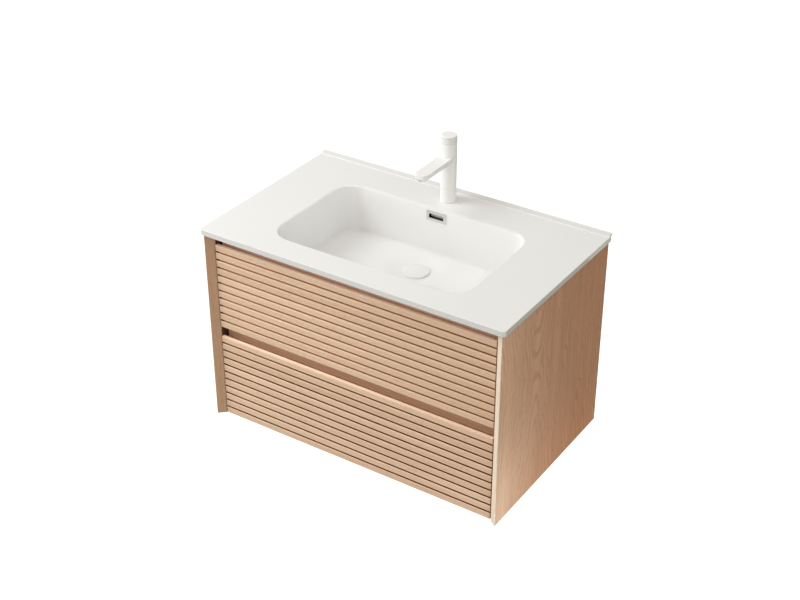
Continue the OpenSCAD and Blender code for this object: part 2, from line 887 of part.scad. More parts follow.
module tap_handle() {
    handle_low = tap_seam + handle_gap;
    handle_h = top_z + tap_h - handle_low;
    edge_r = 3;
    groove_t = 1;
    groove_deep = 0.5;
    groove_pitch = 4.5;
    groove_count = 4;
    top_groove_z = handle_h - edge_r - 2 * groove_t;
    color(matt_white) placed()
        translate([0, tap_y, handle_low])
            difference() {
                rotate_extrude() difference() {
                    union() {
                        square([tap_r, handle_h - edge_r]);
                        square([tap_r - edge_r, handle_h]);
                        translate([tap_r - edge_r, handle_h - edge_r]) circle(edge_r);
                    }
                    translate([-tap_r, -over]) square([tap_r, handle_h + 2 * over]);
                    for (row = [0:groove_count - 1])
                        translate([tap_r - groove_deep, top_groove_z - groove_pitch * row])
                            square([groove_deep + over, groove_t]);
                }
                translate([0, 0, -over]) cylinder(r = tap_r - handle_wall, h = handle_bore);
                translate([0, 0, -over])
                    cylinder(r = stem_r + stem_fit, h = stem_top - handle_low + over);
            }
}

module tap_cartridge() {
    color(white_plastic) placed()
        translate([0, tap_y, cartridge_z]) {
            cylinder(r = cartridge_r, h = cartridge_depth);
            cylinder(r = cartridge_r - cartridge_step, h = cartridge_depth + cartridge_neck);
            cylinder(r = stem_r, h = stem_top - cartridge_z);
        }
}

module tap_gasket() {
    color(black_plastic) placed()
        translate([0, tap_y, top_z]) tube(tap_r - gasket_inset, tap_hole_r - gasket_lip, gasket_t);
}

module tap_stud() {
    color(steel) placed()
        translate([0, stud_y, tap_base - stud_l])
            cylinder(r = stud_r, h = stud_l + inlet_l + stud_bite);
}

module tap_clamp_washer() {
    mouth = 2 * (inlet_x + inlet_r + clamp_slack);
    color(steel) placed()
        difference() {
            translate([0, tap_y, cab_h - clamp_t]) cylinder(r = clamp_r, h = clamp_t);
            translate([-mouth / 2, tap_y - clamp_r - over, cab_h - clamp_t - over])
                cube([mouth, clamp_r + mouth_past, clamp_t + 2 * over]);
            translate([0, stud_y, cab_h - clamp_t - over])
                cylinder(r = stud_r, h = clamp_t + 2 * over);
        }
}

module tap_nut() {
    nut_t = 8;
    color(steel) placed()
        translate([0, stud_y, cab_h - clamp_t - nut_t])
            difference() {
                cylinder(r = 1.8 * stud_r, h = nut_t, $fn = 6);
                translate([0, 0, -over]) cylinder(r = stud_r, h = nut_t + 2 * over);
            }
}

// The right side panel. Its bevel leaves the land on the outside and runs back to the inner face.
module side_panel() {
    outer_x = cab_w / 2;
    color(panel_oak) placed() difference() {
        linear_extrude(cab_h)
            polygon([
                [outer_x, 0],
                [inner_x, 0],
                [inner_x, cab_front + bevel_d],
                [outer_x - bevel_land, cab_front],
                [outer_x, cab_front]
            ]);
        for (point = dowel_points)
            translate([inner_x - over, point.x, point.y]) rod_x(dowel_r, dowel_in + over);
        for (point = cam_points)
            translate([inner_x - over, point.x, point.y]) rod_x(cam_bolt_r, cam_bolt_in + over);
        for (z = [lower_runner_z, upper_runner_z], y = runner_screw_y)
            translate([inner_x - over, y, z]) rod_x(runner_screw_r, runner_screw_l + over);
        hanger_pegs();
    }
}

module side_panel_right() {
    side_panel();
}

module side_panel_left() {
    mirror([1, 0, 0]) side_panel();
}

// Bores for dowels and cam fittings in the ends of what runs across, drawn on the right
module dowel_bores(points) {
    for (point = points)
        translate([inner_x - dowel_l + dowel_in, point.x, point.y]) rod_x(dowel_r, dowel_l);
}

module cam_bolt_bores(points) {
    for (point = points)
        translate([inner_x - cam_from_panel, point.x, point.y])
            rod_x(cam_bolt_r, cam_from_panel + over);
}

module cam_bore_base() {
    for (y = cam_base_y)
        translate([inner_x - cam_from_panel, y, -over]) cylinder(r = cam_r, h = cam_t + over);
}

module cam_bore_rail(z) {
    translate([inner_x - cam_from_panel, -wall_space - cam_t, z]) rod_y(cam_r, cam_t + over);
}

module bottom_panel() {
    color(panel_oak) placed() difference() {
        translate([-inner_x, rail_face, 0]) cube([2 * inner_x, -wall_space - rail_face, base_t]);
        both_sides() {
            dowel_bores([for (y = base_joint_y) [y, base_t / 2]]);
            cam_bolt_bores([for (y = cam_base_y) [y, base_t / 2]]);
            cam_bore_base();
        }
    }
}

module front_rails() {
    rail_x = inner_x - rail_cap_w;
    color(rail_brown) placed()
        for (z = [mid_rail_z, top_rail_z])
            translate([-rail_x, rail_face, z]) cube([2 * rail_x, front_rail_t, front_rail_h]);
}

module rail_end_caps() {
    color(black_plastic) placed()
        both_sides()
            for (z = [mid_rail_z, top_rail_z])
                translate([inner_x - rail_cap_w, rail_face, z])
                    cube([rail_cap_w, front_rail_t, front_rail_h]);
}

module upper_back_rail() {
    difference() {
        translate([-inner_x, back_rail_y, upper_rail_bottom])
            cube([2 * inner_x, back_rail_t, upper_back_rail_h]);
        both_sides() {
            translate([inner_x - notch_w, back_rail_y - over, notch_z])
                cube([notch_w + over, back_rail_t + 2 * over, cab_h - notch_z + over]);
            dowel_bores([for (z = upper_joint_z) [back_rail_mid, z]]);
            cam_bolt_bores([[back_rail_mid, cam_upper_z]]);
            cam_bore_rail(cam_upper_z);
        }
    }
}

module lower_back_rail() {
    difference() {
        translate([-inner_x, back_rail_y, base_t]) cube([2 * inner_x, back_rail_t, lower_back_rail_h]);
        both_sides() {
            dowel_bores([for (z = lower_joint_z) [back_rail_mid, z]]);
            cam_bolt_bores([[back_rail_mid, cam_lower_z]]);
            cam_bore_rail(cam_lower_z);
        }
    }
}

module back_rails() {
    color(panel_oak) placed() {
        upper_back_rail();
        lower_back_rail();
    }
}

module panel_dowels() {
    color(slat_oak) placed() both_sides() dowel_bores(dowel_points);
}

// Each cam fitting is a round cam in the crossing piece and a bolt from it into the side panel
module cam_fittings() {
    color(steel) placed()
        both_sides() {
            for (y = cam_base_y)
                translate([inner_x - cam_from_panel, y, 0]) cylinder(r = cam_r, h = cam_t);
            for (z = [cam_lower_z, cam_upper_z])
                translate([inner_x - cam_from_panel, -wall_space - cam_t, z]) rod_y(cam_r, cam_t);
            for (point = cam_points)
                translate([inner_x - cam_from_panel, point.x, point.y])
                    rod_x(cam_bolt_r, cam_from_panel + cam_bolt_in);
        }
}

// Soft stops for the fronts: on the mid rail for the upper one, on the bottom panel for the lower
module front_buffers() {
    buffer_r = 3.5;
    buffer_slack = 0.3;
    buffer_t = rail_clear - buffer_slack;
    color(black_plastic) placed()
        both_sides()
            for (z = [base_t / 2, (upper_front_z + mid_rail_top) / 2])
                translate([0.85 * inner_x, rail_face - buffer_t, z]) rod_y(buffer_r, buffer_t);
}

// A runner's channel section, on the right side: its web is nearest the panel or nearest the box
module channel(web_x, tip_x, half_h) {
    y = board_back + runner_end_gap;
    web_low = (tip_x > web_x) ? web_x : web_x - runner_sheet;
    for (side = [-1, 1])
        translate([inner_x - max(web_x, tip_x), y, side > 0 ? half_h - runner_sheet : -half_h])
            cube([abs(tip_x - web_x), runner_l, runner_sheet]);
    translate([inner_x - web_low - runner_sheet, y, -half_h])
        cube([runner_sheet, runner_l, 2 * half_h]);
}

module runner_outers(z) {
    color(steel) placed() translate([0, 0, z])
        difference() {
            both_sides() channel(0, outer_lip, runner_h / 2);
            both_sides()
                for (y = runner_screw_y)
                    translate([inner_x - runner_sheet - over, y, 0])
                        rod_x(runner_screw_r, runner_sheet + 2 * over);
        }
}

module runner_middles(z) {
    color(steel) placed() translate([0, 0, z])
        both_sides()
            channel(middle_web, middle_lip, middle_h);
}

module runner_inners(z) {
    color(steel) placed() translate([0, 0, z])
        difference() {
            both_sides() channel(runner_space, runner_space - inner_lip, inner_h);
            both_sides()
                for (y = runner_screw_y)
                    translate([inner_x - runner_space - over, y, 0])
                        rod_x(runner_screw_r, runner_sheet + 2 * over);
        }
}

// A strip of balls between two members: the strip lies on the middle member
module ball_cage(lane_x, y, strip_z, ball_z) {
    translate([inner_x - lane_x - cage_w / 2, y, strip_z]) cube([cage_w, cage_l, strip_t]);
    for (ball = [0:cage_balls - 1])
        translate([inner_x - lane_x, y + cage_l * (ball + 0.5) / cage_balls, ball_z])
            sphere(ball_d / 2, $fn = 24);
}

// The outer pair of cages lies at the back and the inner pair at the front, so both stay in
// the overlap of their members when the drawer is out
module ball_cages(z) {
    lane_mid = ball_lane / 2;
    color(black_plastic) placed() translate([0, 0, z])
        both_sides()
            for (side = [0, 1])
                mirror([0, 0, side]) {
                    ball_cage(outer_lane_x, box_back - cage_l, middle_h, middle_h + lane_mid);
                    ball_cage(inner_lane_x, board_back + runner_end_gap, middle_in - strip_t,
                              middle_in - lane_mid);
                }
}

module upper_runner_outers() { runner_outers(upper_runner_z); }
module upper_runner_middles() { runner_middles(upper_runner_z); }
module upper_runner_inners() { runner_inners(upper_runner_z); }
module upper_ball_cages() { ball_cages(upper_runner_z); }
module lower_runner_outers() { runner_outers(lower_runner_z); }
module lower_runner_middles() { runner_middles(lower_runner_z); }
module lower_runner_inners() { runner_inners(lower_runner_z); }
module lower_ball_cages() { ball_cages(lower_runner_z); }

module runner_screws() {
    color(steel) placed()
        both_sides()
            for (z = [lower_runner_z, upper_runner_z], y = runner_screw_y)
                translate([inner_x - runner_sheet, y, z]) {
                    rod_x(runner_screw_r, runner_sheet + runner_screw_l);
                    translate([-runner_screw_head_t, 0, 0])
                        rod_x(runner_screw_head_r, runner_screw_head_t);
                }
}

// A front's board. Its top rear edge is bevelled away as a finger pull.
module front_board(z, screw_z) {
    color(rail_brown) placed() difference() {
        translate([-front_w / 2, 0, z])
            rotate([90, 0, 90])
                linear_extrude(front_w)
                    polygon([
                        [board_face, 0],
                        [board_back, 0],
                        [board_back, front_h - board_t],
                        [board_face, front_h]
                    ]);
        front_screw_holes(screw_z);
    }
}

module front_slats(z) {
    color(slat_oak) placed()
        for (row = [0:slat_count - 1])
            translate([-front_w / 2, slat_face, z + slat_pitch * row])
                cube([front_w, slat_t, slat_h]);
}

module front_screw_holes(screw_z) {
    for (x = front_screw_x, z = screw_z)
        translate([x, board_back - front_screw_bite, z])
            rod_y(front_screw_r, front_screw_bite + box_wall + over);
}

module box_screw_holes(z) {
    both_sides()
        for (y = runner_screw_y)
            translate([box_x - side_screw_bite, y, z]) rod_x(runner_screw_r, side_screw_bite + over);
}

module box_sides(z, h, runner_z) {
    color(box_grey) placed() difference() {
        both_sides()
            translate([box_x - box_wall, board_back, z]) cube([box_wall, box_l, h]);
        box_screw_holes(runner_z);
    }
}

module drawer_screws(screw_z, runner_z) {
    color(steel) placed() {
        for (x = front_screw_x, z = screw_z)
            translate([x, board_back - front_screw_bite, z]) {
                rod_y(front_screw_r, front_screw_bite + box_wall);
                translate([0, front_screw_bite + box_wall, 0])
                    rod_y(front_screw_head_r, front_screw_head_t);
            }
        both_sides()
            for (y = runner_screw_y)
                translate([box_x - side_screw_bite, y, runner_z]) {
                    rod_x(runner_screw_r, side_screw_bite + runner_sheet);
                    translate([side_screw_bite + runner_sheet, 0, 0])
                        rod_x(runner_screw_head_r, runner_screw_head_t);
                }
    }
}

module box_front_wall(z, h, screw_z) {
    difference() {
        translate([-box_x + box_wall, board_back, z])
            cube([2 * (box_x - box_wall), box_wall, h]);
        front_screw_holes(screw_z);
    }
}

// Upper drawer
upper_screw_z = [upper_box_z + 0.35 * upper_box_h, upper_box_z + 0.8 * upper_box_h];

module upper_front_board() { front_board(upper_front_z, upper_screw_z); }
module upper_front_slats() { front_slats(upper_front_z); }
module upper_box_sides() { box_sides(upper_box_z, upper_box_h, upper_runner_z); }
module upper_drawer_screws() { drawer_screws(upper_screw_z, upper_runner_z); }

module upper_box_ends() {
    wing_x = cutout_w / 2 + box_wall;
    color(box_grey) placed() {
        box_front_wall(upper_box_z, upper_box_h, upper_screw_z);
        both_sides()
            translate([wing_x, box_back - box_wall, upper_box_z])
                cube([box_x - box_wall - wing_x, box_wall, upper_box_h]);
    }
}

module upper_box_floor() {
    floor_front = board_back + box_wall;
    floor_back = box_back - box_wall;
    floor_x = box_x - box_wall;
    color(box_grey) placed() difference() {
        translate([-floor_x, floor_front, upper_box_z + box_floor_up])
            cube([2 * floor_x, floor_back - floor_front, box_floor_t]);
        translate([-cutout_w / 2, cutout_front, upper_box_z])
            cube([cutout_w, floor_back - cutout_front + over, upper_box_h]);
    }
}

// A U-shaped moulding round the floor's cut-out keeps what is stored off the trap
module upper_trap_surround() {
    wall_z = upper_box_z + box_floor_up + box_floor_t;
    wall_h = upper_box_h - box_floor_up - box_floor_t;
    color(black_plastic) placed() {
        both_sides()
            translate([cutout_w / 2, cutout_front, wall_z])
                cube([box_wall, box_back - cutout_front, wall_h]);
        translate([-cutout_w / 2 - box_wall, cutout_front - box_wall, wall_z])
            cube([cutout_w + 2 * box_wall, box_wall, wall_h]);
    }
}

// Lower drawer
lower_screw_z = [lower_box_z + 0.2 * lower_box_h, lower_box_z + 0.8 * lower_box_h];

module lower_front_board() { front_board(lower_front_z, lower_screw_z); }
module lower_front_slats() { front_slats(lower_front_z); }
module lower_box_sides() { box_sides(lower_box_z, lower_box_h, lower_runner_z); }
module lower_drawer_screws() { drawer_screws(lower_screw_z, lower_runner_z); }

module lower_box_ends() {
    color(box_grey) placed() {
        box_front_wall(lower_box_z, lower_box_h, lower_screw_z);
        translate([-box_x + box_wall, box_back - box_wall, lower_box_z])
            cube([2 * (box_x - box_wall), box_wall, lower_box_h]);
    }
}

module lower_box_floor() {
    floor_front = board_back + box_wall;
    floor_x = box_x - box_wall;
    color(box_grey) placed()
        translate([-floor_x, floor_front, lower_box_z + box_floor_up])
            cube([2 * floor_x, box_back - box_wall - floor_front, box_floor_t]);
}

// Hanging: a body in each upper rear corner carries a hook over the wall plate's lip. The body is
// held to the side panel by two pegs.
module hanger_pegs() {
    for (z = [hanger_z + hanger_peg_up, hanger_z + hanger_h - hanger_peg_up])
        translate([inner_x - over, back_rail_y - hanger_d + hanger_peg_back, z])
            rod_x(hanger_peg_r, hanger_peg_l + over);
}

module hook_profile() {
    back = -plate_t - hook_slack;
    root = back_rail_y - hanger_d + hook_root;
    tongue_h = lip_h - hook_bite;
    translate([root, lip_top]) square([back - root, hook_h]);
    translate([back - hook_t, lip_top - tongue_h]) square([hook_t, tongue_h + eps]);
}

module hanger_bodies() {
    color(black_plastic) placed()
        both_sides() {
            hanger_pegs();
            difference() {
                translate([inner_x - hanger_w, back_rail_y - hanger_d, hanger_z])
                    cube([hanger_w, hanger_d, hanger_h]);
                translate([hook_x, back_rail_y - hanger_d + hook_root, lip_top])
                    cube([hook_t, hanger_d, hook_h]);
                for (z = hanger_screw_z)
                    translate([inner_x - hanger_w / 2, back_rail_y - hanger_d - over, z])
                        rod_y(hanger_screw_r, hanger_screw_l + over);
            }
        }
}

module hanger_hooks() {
    color(steel) placed()
        both_sides()
            translate([hook_x, 0, 0])
                rotate([90, 0, 90]) linear_extrude(hook_t) hook_profile();
}

module hanger_screws() {
    color(steel) placed()
        both_sides()
            for (z = hanger_screw_z)
                translate([inner_x - hanger_w / 2, back_rail_y - hanger_d, z]) {
                    translate([0, -over, 0]) rod_y(hanger_screw_r, hanger_screw_l + over);
                    translate([0, -hanger_screw_head_t, 0])
                        rod_y(hanger_screw_head_r, hanger_screw_head_t);
                }
}

module wall_plates() {
    color(steel) placed()
        both_sides()
            difference() {
                translate([plate_x - plate_w / 2, 0, 0]) {
                    translate([0, -plate_t, plate_top - plate_h]) cube([plate_w, plate_t, plate_h]);
                    translate([0, lip_y, plate_top - plate_t]) cube([plate_w, -lip_y, plate_t]);
                    translate([0, lip_y, plate_top - plate_t]) cube([plate_w, plate_t, lip_h + plate_t]);
                }
                for (side = [-1, 1])
                    translate([fixing_x, -plate_t - over, hang_z + side * fixing_h / 2])
                        rod_y(fixing_r, plate_t + 2 * over);
            }
}

basin_plate();
basin_bowl();
basin_duct();
overflow_frame();
waste_body();
waste_seal();
waste_backnut();
waste_cap();
trap_tailpiece();
trap_bottle();
trap_cup();
trap_nuts();
trap_outlet_pipe();
wall_rosette();
tap_body();
tap_core();
tap_inlets();
tap_spout();
tap_aerator();
tap_handle();
tap_cartridge();
tap_gasket();
tap_stud();
tap_clamp_washer();
tap_nut();
side_panel_left();
side_panel_right();
bottom_panel();
front_rails();
rail_end_caps();
back_rails();
panel_dowels();
cam_fittings();
front_buffers();
hanger_bodies();
hanger_hooks();
hanger_screws();
wall_plates();
upper_runner_outers();
upper_runner_middles();
upper_runner_inners();
upper_ball_cages();
lower_runner_outers();
lower_runner_middles();
lower_runner_inners();
lower_ball_cages();
runner_screws();
upper_front_board();
upper_front_slats();
upper_box_sides();
upper_box_ends();
upper_box_floor();
upper_trap_surround();
upper_drawer_screws();
lower_front_board();
lower_front_slats();
lower_box_sides();
lower_box_ends();
lower_box_floor();
lower_drawer_screws();
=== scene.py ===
import math

import bpy
import numpy as np
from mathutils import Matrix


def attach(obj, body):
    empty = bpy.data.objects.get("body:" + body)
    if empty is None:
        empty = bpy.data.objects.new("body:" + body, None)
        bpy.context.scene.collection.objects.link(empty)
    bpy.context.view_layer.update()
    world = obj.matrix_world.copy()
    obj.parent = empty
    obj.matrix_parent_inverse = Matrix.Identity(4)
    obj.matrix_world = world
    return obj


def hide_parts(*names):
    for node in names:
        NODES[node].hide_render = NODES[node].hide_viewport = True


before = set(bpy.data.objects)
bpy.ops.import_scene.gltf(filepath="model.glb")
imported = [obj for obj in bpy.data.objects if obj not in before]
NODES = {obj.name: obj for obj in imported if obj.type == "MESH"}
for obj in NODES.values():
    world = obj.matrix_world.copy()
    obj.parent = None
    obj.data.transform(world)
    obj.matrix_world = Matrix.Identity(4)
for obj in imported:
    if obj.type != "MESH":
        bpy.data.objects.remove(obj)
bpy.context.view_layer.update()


# ---------------------------------------------------------------------------------------------
# Basin worktop: one glazed ceramic casting, a thin plate with a deep rectangular bowl in it.
# The surface is one closed loft of rounded rectangles that goes from the drain up over the rim
# and the plate's edge, and back under the bowl. It lies on the cabinet's side panels.
# ---------------------------------------------------------------------------------------------
MM = 0.001
TOP_Z = 73 * MM
PLATE_T = 14 * MM
PLATE_HALF = (400 * MM, 245 * MM)
PLATE_CORNER_R = 9 * MM
PLATE_EDGE_R = 1.2 * MM
BOWL_Y = -264.5 * MM
BOWL_HALF = (253 * MM, 154.5 * MM)
BOWL_REAR_Y = BOWL_Y + BOWL_HALF[1]
BOWL_CORNER_R = 52 * MM
BOWL_DEPTH = 118 * MM
BOWL_FALL = 10 * MM
BOWL_WALL = 12 * MM
BOWL_FILLET = 5 * MM
BOWL_DRAFT = 3 * MM
RIM_R = 4 * MM
DRAIN_Y = -198 * MM
DRAIN_FLAT_R = 36 * MM
DRAIN_HOLE_R = 21 * MM
DISH_R = 76 * MM
BOSS_R = 34 * MM
BOSS_Z = -87 * MM
SHELL_Z = -67 * MM
SLOT_HALF_X = 20.5 * MM
SLOT_TOP = 15.5 * MM
SLOT_LOW = 28.5 * MM
SLOT_DEEP = 15 * MM
DUCT_HALF_X = 23.5 * MM
DUCT_FRONT_Y = -100 * MM
DUCT_BACK_Y = -88 * MM
DUCT_EASE = 3 * MM
UPSTAND_T = 15 * MM
UPSTAND_H = 6 * MM
UPSTAND_R = 1 * MM
UPSTAND_REAR_R = 1.5 * MM
UPSTAND_END = 1.5 * MM
UPSTAND_FOOT = 1 * MM


def add_mesh(name, verts, faces, sharp=40, weighted=True):
    """A mesh object at the origin, smooth except across edges sharper than `sharp` degrees."""
    mesh = bpy.data.meshes.new(name)
    mesh.from_pydata(np.asarray(verts, float).tolist(), [], faces)
    mesh.validate()
    mesh.shade_smooth()
    mesh.set_sharp_from_angle(angle=math.radians(sharp))
    obj = bpy.data.objects.new(name, mesh)
    bpy.context.scene.collection.objects.link(obj)
    if weighted:
        mod = obj.modifiers.new("even_faces", "WEIGHTED_NORMAL")
        mod.keep_sharp = True
    return obj


def fit(piece, materials, body, slot_name, *nodes):
    """Gives a piece its materials, the body that carries it and the CAD nodes that it stands for.
    The slot name is not used."""
    for material in materials:
        piece.data.materials.append(material)
    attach(piece, body)
    if nodes:
        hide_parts(*nodes)


def loft(rings, start_cap=True, end_cap=True, skip=()):
    """Quads between closed rings of n points each: face (i, j) joins points j and j + 1 of ring i
    to those of ring i + 1. Flat end caps close it. `skip` holds (i, j) pairs left open."""
    rings = np.asarray(rings, float)
    m, n = rings.shape[:2]
    i, j = np.mgrid[:m - 1, :n]
    here, beside = i * n + j, i * n + (j + 1) % n
    quads = np.stack([here, beside, beside + n, here + n], axis=-1)
    keep = np.ones((m - 1, n), bool)
    for gap in skip:
        keep[gap] = False
    faces = quads[keep].tolist()
    if start_cap:
        faces.append(list(range(n - 1, -1, -1)))
    if end_cap:
        faces.append(list(range((m - 1) * n, m * n)))
    return rings.reshape(-1, 3), faces


def join(parts):
    """Several (verts, faces) pairs as one: each part's points are counted on from the last part's."""
    starts = np.cumsum([0] + [len(verts) for verts, _ in parts]).tolist()
    faces = [[k + start for k in face] for start, (_, own) in zip(starts, parts) for face in own]
    return np.vstack([verts for verts, _ in parts]), faces


def quarter(steps):
    """Angles of a quarter turn, in radians, ends included."""
    return np.linspace(0, math.pi / 2, steps + 1)


def corner_arcs(run_x, run_y, r, steps):
    """A rounded rectangle's four quarter arcs, anticlockwise: arc k turns about
    (+-run_x, +-run_y) at radius r, from k to k + 1 right angles."""
    arcs = []
    for k, (sx, sy) in enumerate(((1, 1), (-1, 1), (-1, -1), (1, -1))):
        a = quarter(steps) + k * math.pi / 2
        arcs.append(np.column_stack([sx * run_x + r * np.cos(a), sy * run_y + r * np.sin(a)]))
    return arcs


def bowl_ring(half, corner_r, centre_y, z, arc=14, side=8):
    """A rounded rectangle, anticlockwise from above, as (n, 3) points: quarter arcs, each with the
    straight run after it. The rear run has points at the overflow slot's two edges."""
    hx, hy = half
    r = min(corner_r, hx - 1e-4, hy - 1e-4)
    run_x, run_y = hx - r, hy - r
    slot = min(SLOT_HALF_X, 0.6 * run_x)
    rear = np.concatenate([np.linspace(run_x, slot, side)[1:], [0], np.linspace(-slot, -run_x, side)[:-1]])
    along = np.linspace(run_y, -run_y, side + 2)[1:-1]
    front = np.linspace(-run_x, run_x, 2 * side + 1)[1:-1]
    runs = [np.column_stack(np.broadcast_arrays(x, y))
            for x, y in ((rear, hy), (-hx, along), (front, -hy), (hx, -along))]
    points = np.vstack([part for pair in zip(corner_arcs(run_x, run_y, r, arc), runs) for part in pair])
    return np.column_stack([points[:, 0], points[:, 1] + centre_y, np.full(len(points), z)])


def toward_drain(ring, radius):
    """The ring's points drawn onto a circle of that radius about the drain, each on its own ray."""
    centre = np.array([0, DRAIN_Y])
    ray = ring[:, :2] - centre
    out = ring.copy()
    out[:, :2] = centre + ray / np.linalg.norm(ray, axis=1)[:, None] * radius
    return out


def dish(xy):
    """How far the bowl's floor falls at a point: a smooth cone about the drain, of radius DISH_R."""
    away = np.linalg.norm(xy - np.array([0, DRAIN_Y]), axis=1)
    share = np.clip((DISH_R - away) / (DISH_R - DRAIN_FLAT_R), 0, 1)
    return BOWL_FALL * share * share * (3 - 2 * share)


def inner_bowl(inset, depth, sink=0.0):
    """A ring of the bowl's hollow: `inset` in from the mouth, `depth` down, `sink` of the dish."""
    half = (BOWL_HALF[0] - inset, BOWL_HALF[1] - inset)
    ring = bowl_ring(half, BOWL_CORNER_R - inset, BOWL_Y, TOP_Z - depth)
    ring[:, 2] -= sink * dish(ring[:, :2])
    return ring


def plate_ring(inset, z):
    """A ring of the plate's edge, `inset` in from its outline."""
    half = (PLATE_HALF[0] - inset, PLATE_HALF[1] - inset)
    return bowl_ring(half, PLATE_CORNER_R - inset, -PLATE_HALF[1], z)


def shell_ring(inset, z):
    """A ring of the bowl's underside, `inset` in from its widest outline."""
    half = (BOWL_HALF[0] + BOWL_WALL - inset, BOWL_HALF[1] + BOWL_WALL - inset)
    return bowl_ring(half, BOWL_CORNER_R + BOWL_WALL - inset, BOWL_Y, z)


def basin_rings():
    """The casting's rings from the drain's shoulder up, out, down and back under to the drain. A
    fillet of radius r has gone r (1 - sin a) inward where it is r (1 - cos a) up. Returns the
    rings with the index of the one just under the overflow slot."""
    floor_edge = inner_bowl(BOWL_DRAFT + BOWL_FILLET, BOWL_DEPTH, 1)
    drain_ring = toward_drain(floor_edge, DRAIN_FLAT_R)
    hole = toward_drain(floor_edge, DRAIN_HOLE_R)
    hole[:, 2] = TOP_Z - BOWL_DEPTH - BOWL_FALL
    rings = [hole]
    for share in np.linspace(0, 1, 16)[:-1]:
        ring = drain_ring + share * (floor_edge - drain_ring)
        ring[:, 2] = TOP_Z - BOWL_DEPTH - dish(ring[:, :2])
        rings.append(ring)
    for a in quarter(9):
        inset = BOWL_DRAFT + BOWL_FILLET * (1 - math.sin(a))
        rings.append(inner_bowl(inset, BOWL_DEPTH - BOWL_FILLET * (1 - math.cos(a)), math.cos(a)))
    for share in (0.75, 0.5, 0.25):
        depth = SLOT_LOW + share * (BOWL_DEPTH - BOWL_FILLET - SLOT_LOW)
        rings.append(inner_bowl(BOWL_DRAFT * share * share, depth))
    rings.append(inner_bowl(0, SLOT_LOW))
    slot_row = len(rings) - 1
    rings.append(inner_bowl(0, SLOT_TOP))
    for a in quarter(6):
        rings.append(inner_bowl(-RIM_R * (1 - math.cos(a)), RIM_R * (1 - math.sin(a))))
    for a in quarter(5):
        rings.append(plate_ring(PLATE_EDGE_R * (1 - math.sin(a)), TOP_Z - PLATE_EDGE_R * (1 - math.cos(a))))
    for a in quarter(5):
        rings.append(plate_ring(PLATE_EDGE_R * (1 - math.cos(a)),
                                TOP_Z - PLATE_T + PLATE_EDGE_R * (1 - math.sin(a))))
    rings.append(shell_ring(0, TOP_Z - PLATE_T))
    outer_fillet = BOWL_FILLET + BOWL_WALL / 2
    for a in quarter(6):
        rings.append(shell_ring(outer_fillet * (1 - math.cos(a)), SHELL_Z + outer_fillet * (1 - math.sin(a))))
    boss = toward_drain(rings[-1], BOSS_R)
    rings.append(boss)
    for radius, z in ((BOSS_R, BOSS_Z), (DRAIN_HOLE_R, BOSS_Z), (DRAIN_HOLE_R, hole[0, 2])):
        ring = toward_drain(boss, radius)
        ring[:, 2] = z
        rings.append(ring)
    return rings, slot_row


def upstand():
    """The low ledge along the wall. Its section is a cove of radius r up from the plate, a nose of
    radius r, and a top that rises to the rounded rear edge. At each end it starts flush at three
    quarters of its height, dips in and comes back flush at its full height."""
    cove, nose, back, end = quarter(5), quarter(5)[1:], quarter(4), quarter(4)
    section = np.vstack([
        np.column_stack([UPSTAND_R * (np.sin(cove) - 1) - UPSTAND_T, UPSTAND_R * (1 - np.cos(cove))]),
        np.column_stack([UPSTAND_R * (1 - np.cos(nose)) - UPSTAND_T, UPSTAND_R * (1 + np.sin(nose))]),
        np.column_stack([UPSTAND_REAR_R * (np.sin(back) - 1),
                         UPSTAND_H - UPSTAND_REAR_R * (1 - np.cos(back))]),
        [(0, -UPSTAND_FOOT), (-UPSTAND_T - UPSTAND_R, -UPSTAND_FOOT)]])
    share = np.where(section[:, 1] > 0, (0.75 + 0.25 * np.sin(end))[:, None], 1)
    inset = UPSTAND_END * (1 - np.sin(end))
    inset[0] = 0
    left = np.stack(np.broadcast_arrays((inset - PLATE_HALF[0] + PLATE_EDGE_R)[:, None], section[:, 0],
                                        TOP_Z + share * section[:, 1]), axis=-1)
    return loft(np.concatenate([left, left[::-1] * (-1, 1, 1)]))


def eased_prism(outline, axis, low, high, ease, steps=3):
    """A convex outline drawn along an axis, with every edge rounded to radius `ease`: the sum of
    the outline, drawn in by `ease`, and a ball. A corner between sides with normals a and b turns
    about corner - ease (a + b) / (1 + a.b). `axis` is 0 or 2; the outline's two columns are the
    other axes in their order, anticlockwise as seen from the axis's positive end."""
    points = np.asarray(outline, float)
    edge = np.roll(points, -1, axis=0) - points
    after = np.column_stack([edge[:, 1], -edge[:, 0]]) / np.linalg.norm(edge, axis=1)[:, None]
    before = np.roll(after, 1, axis=0)
    dot = np.sum(before * after, axis=1)
    centres = points - ease * (before + after) / (1 + dot)[:, None]
    turn = np.arctan2(before[:, 0] * after[:, 1] - before[:, 1] * after[:, 0], dot)
    count = np.maximum(1, np.round(np.abs(turn) / (math.pi / 2) * steps)).astype(int)
    corner = np.repeat(np.arange(len(points)), count + 1)
    share = np.concatenate([np.arange(n + 1) / n for n in count])
    angle = np.arctan2(before[:, 1], before[:, 0])[corner] + turn[corner] * share
    fan = np.column_stack([np.cos(angle), np.sin(angle)])

    def ring(radius, place):
        return np.insert(centres[corner] + radius * fan, axis, place, axis=1)

    first_lift = 0.12
    lifts = np.linspace(first_lift, math.pi / 2, steps + 1)
    rings = [ring(ease * math.sin(a), low + ease * (1 - math.cos(a))) for a in lifts]
    rings += [ring(ease * math.sin(a), high - ease * (1 - math.cos(a))) for a in lifts[::-1]]
    rings[0][:, axis] = low
    rings[-1][:, axis] = high
    return loft(rings)


def eased_box(x, y, z, ease, steps=3, axis=0):
    """A box between the given (low, high) pairs with every edge rounded."""
    spans = [x, y, z]
    low, high = spans.pop(axis)
    (a0, a1), (b0, b1) = spans
    return eased_prism([(a0, b0), (a1, b0), (a1, b1), (a0, b1)], axis, low, high, ease, steps)


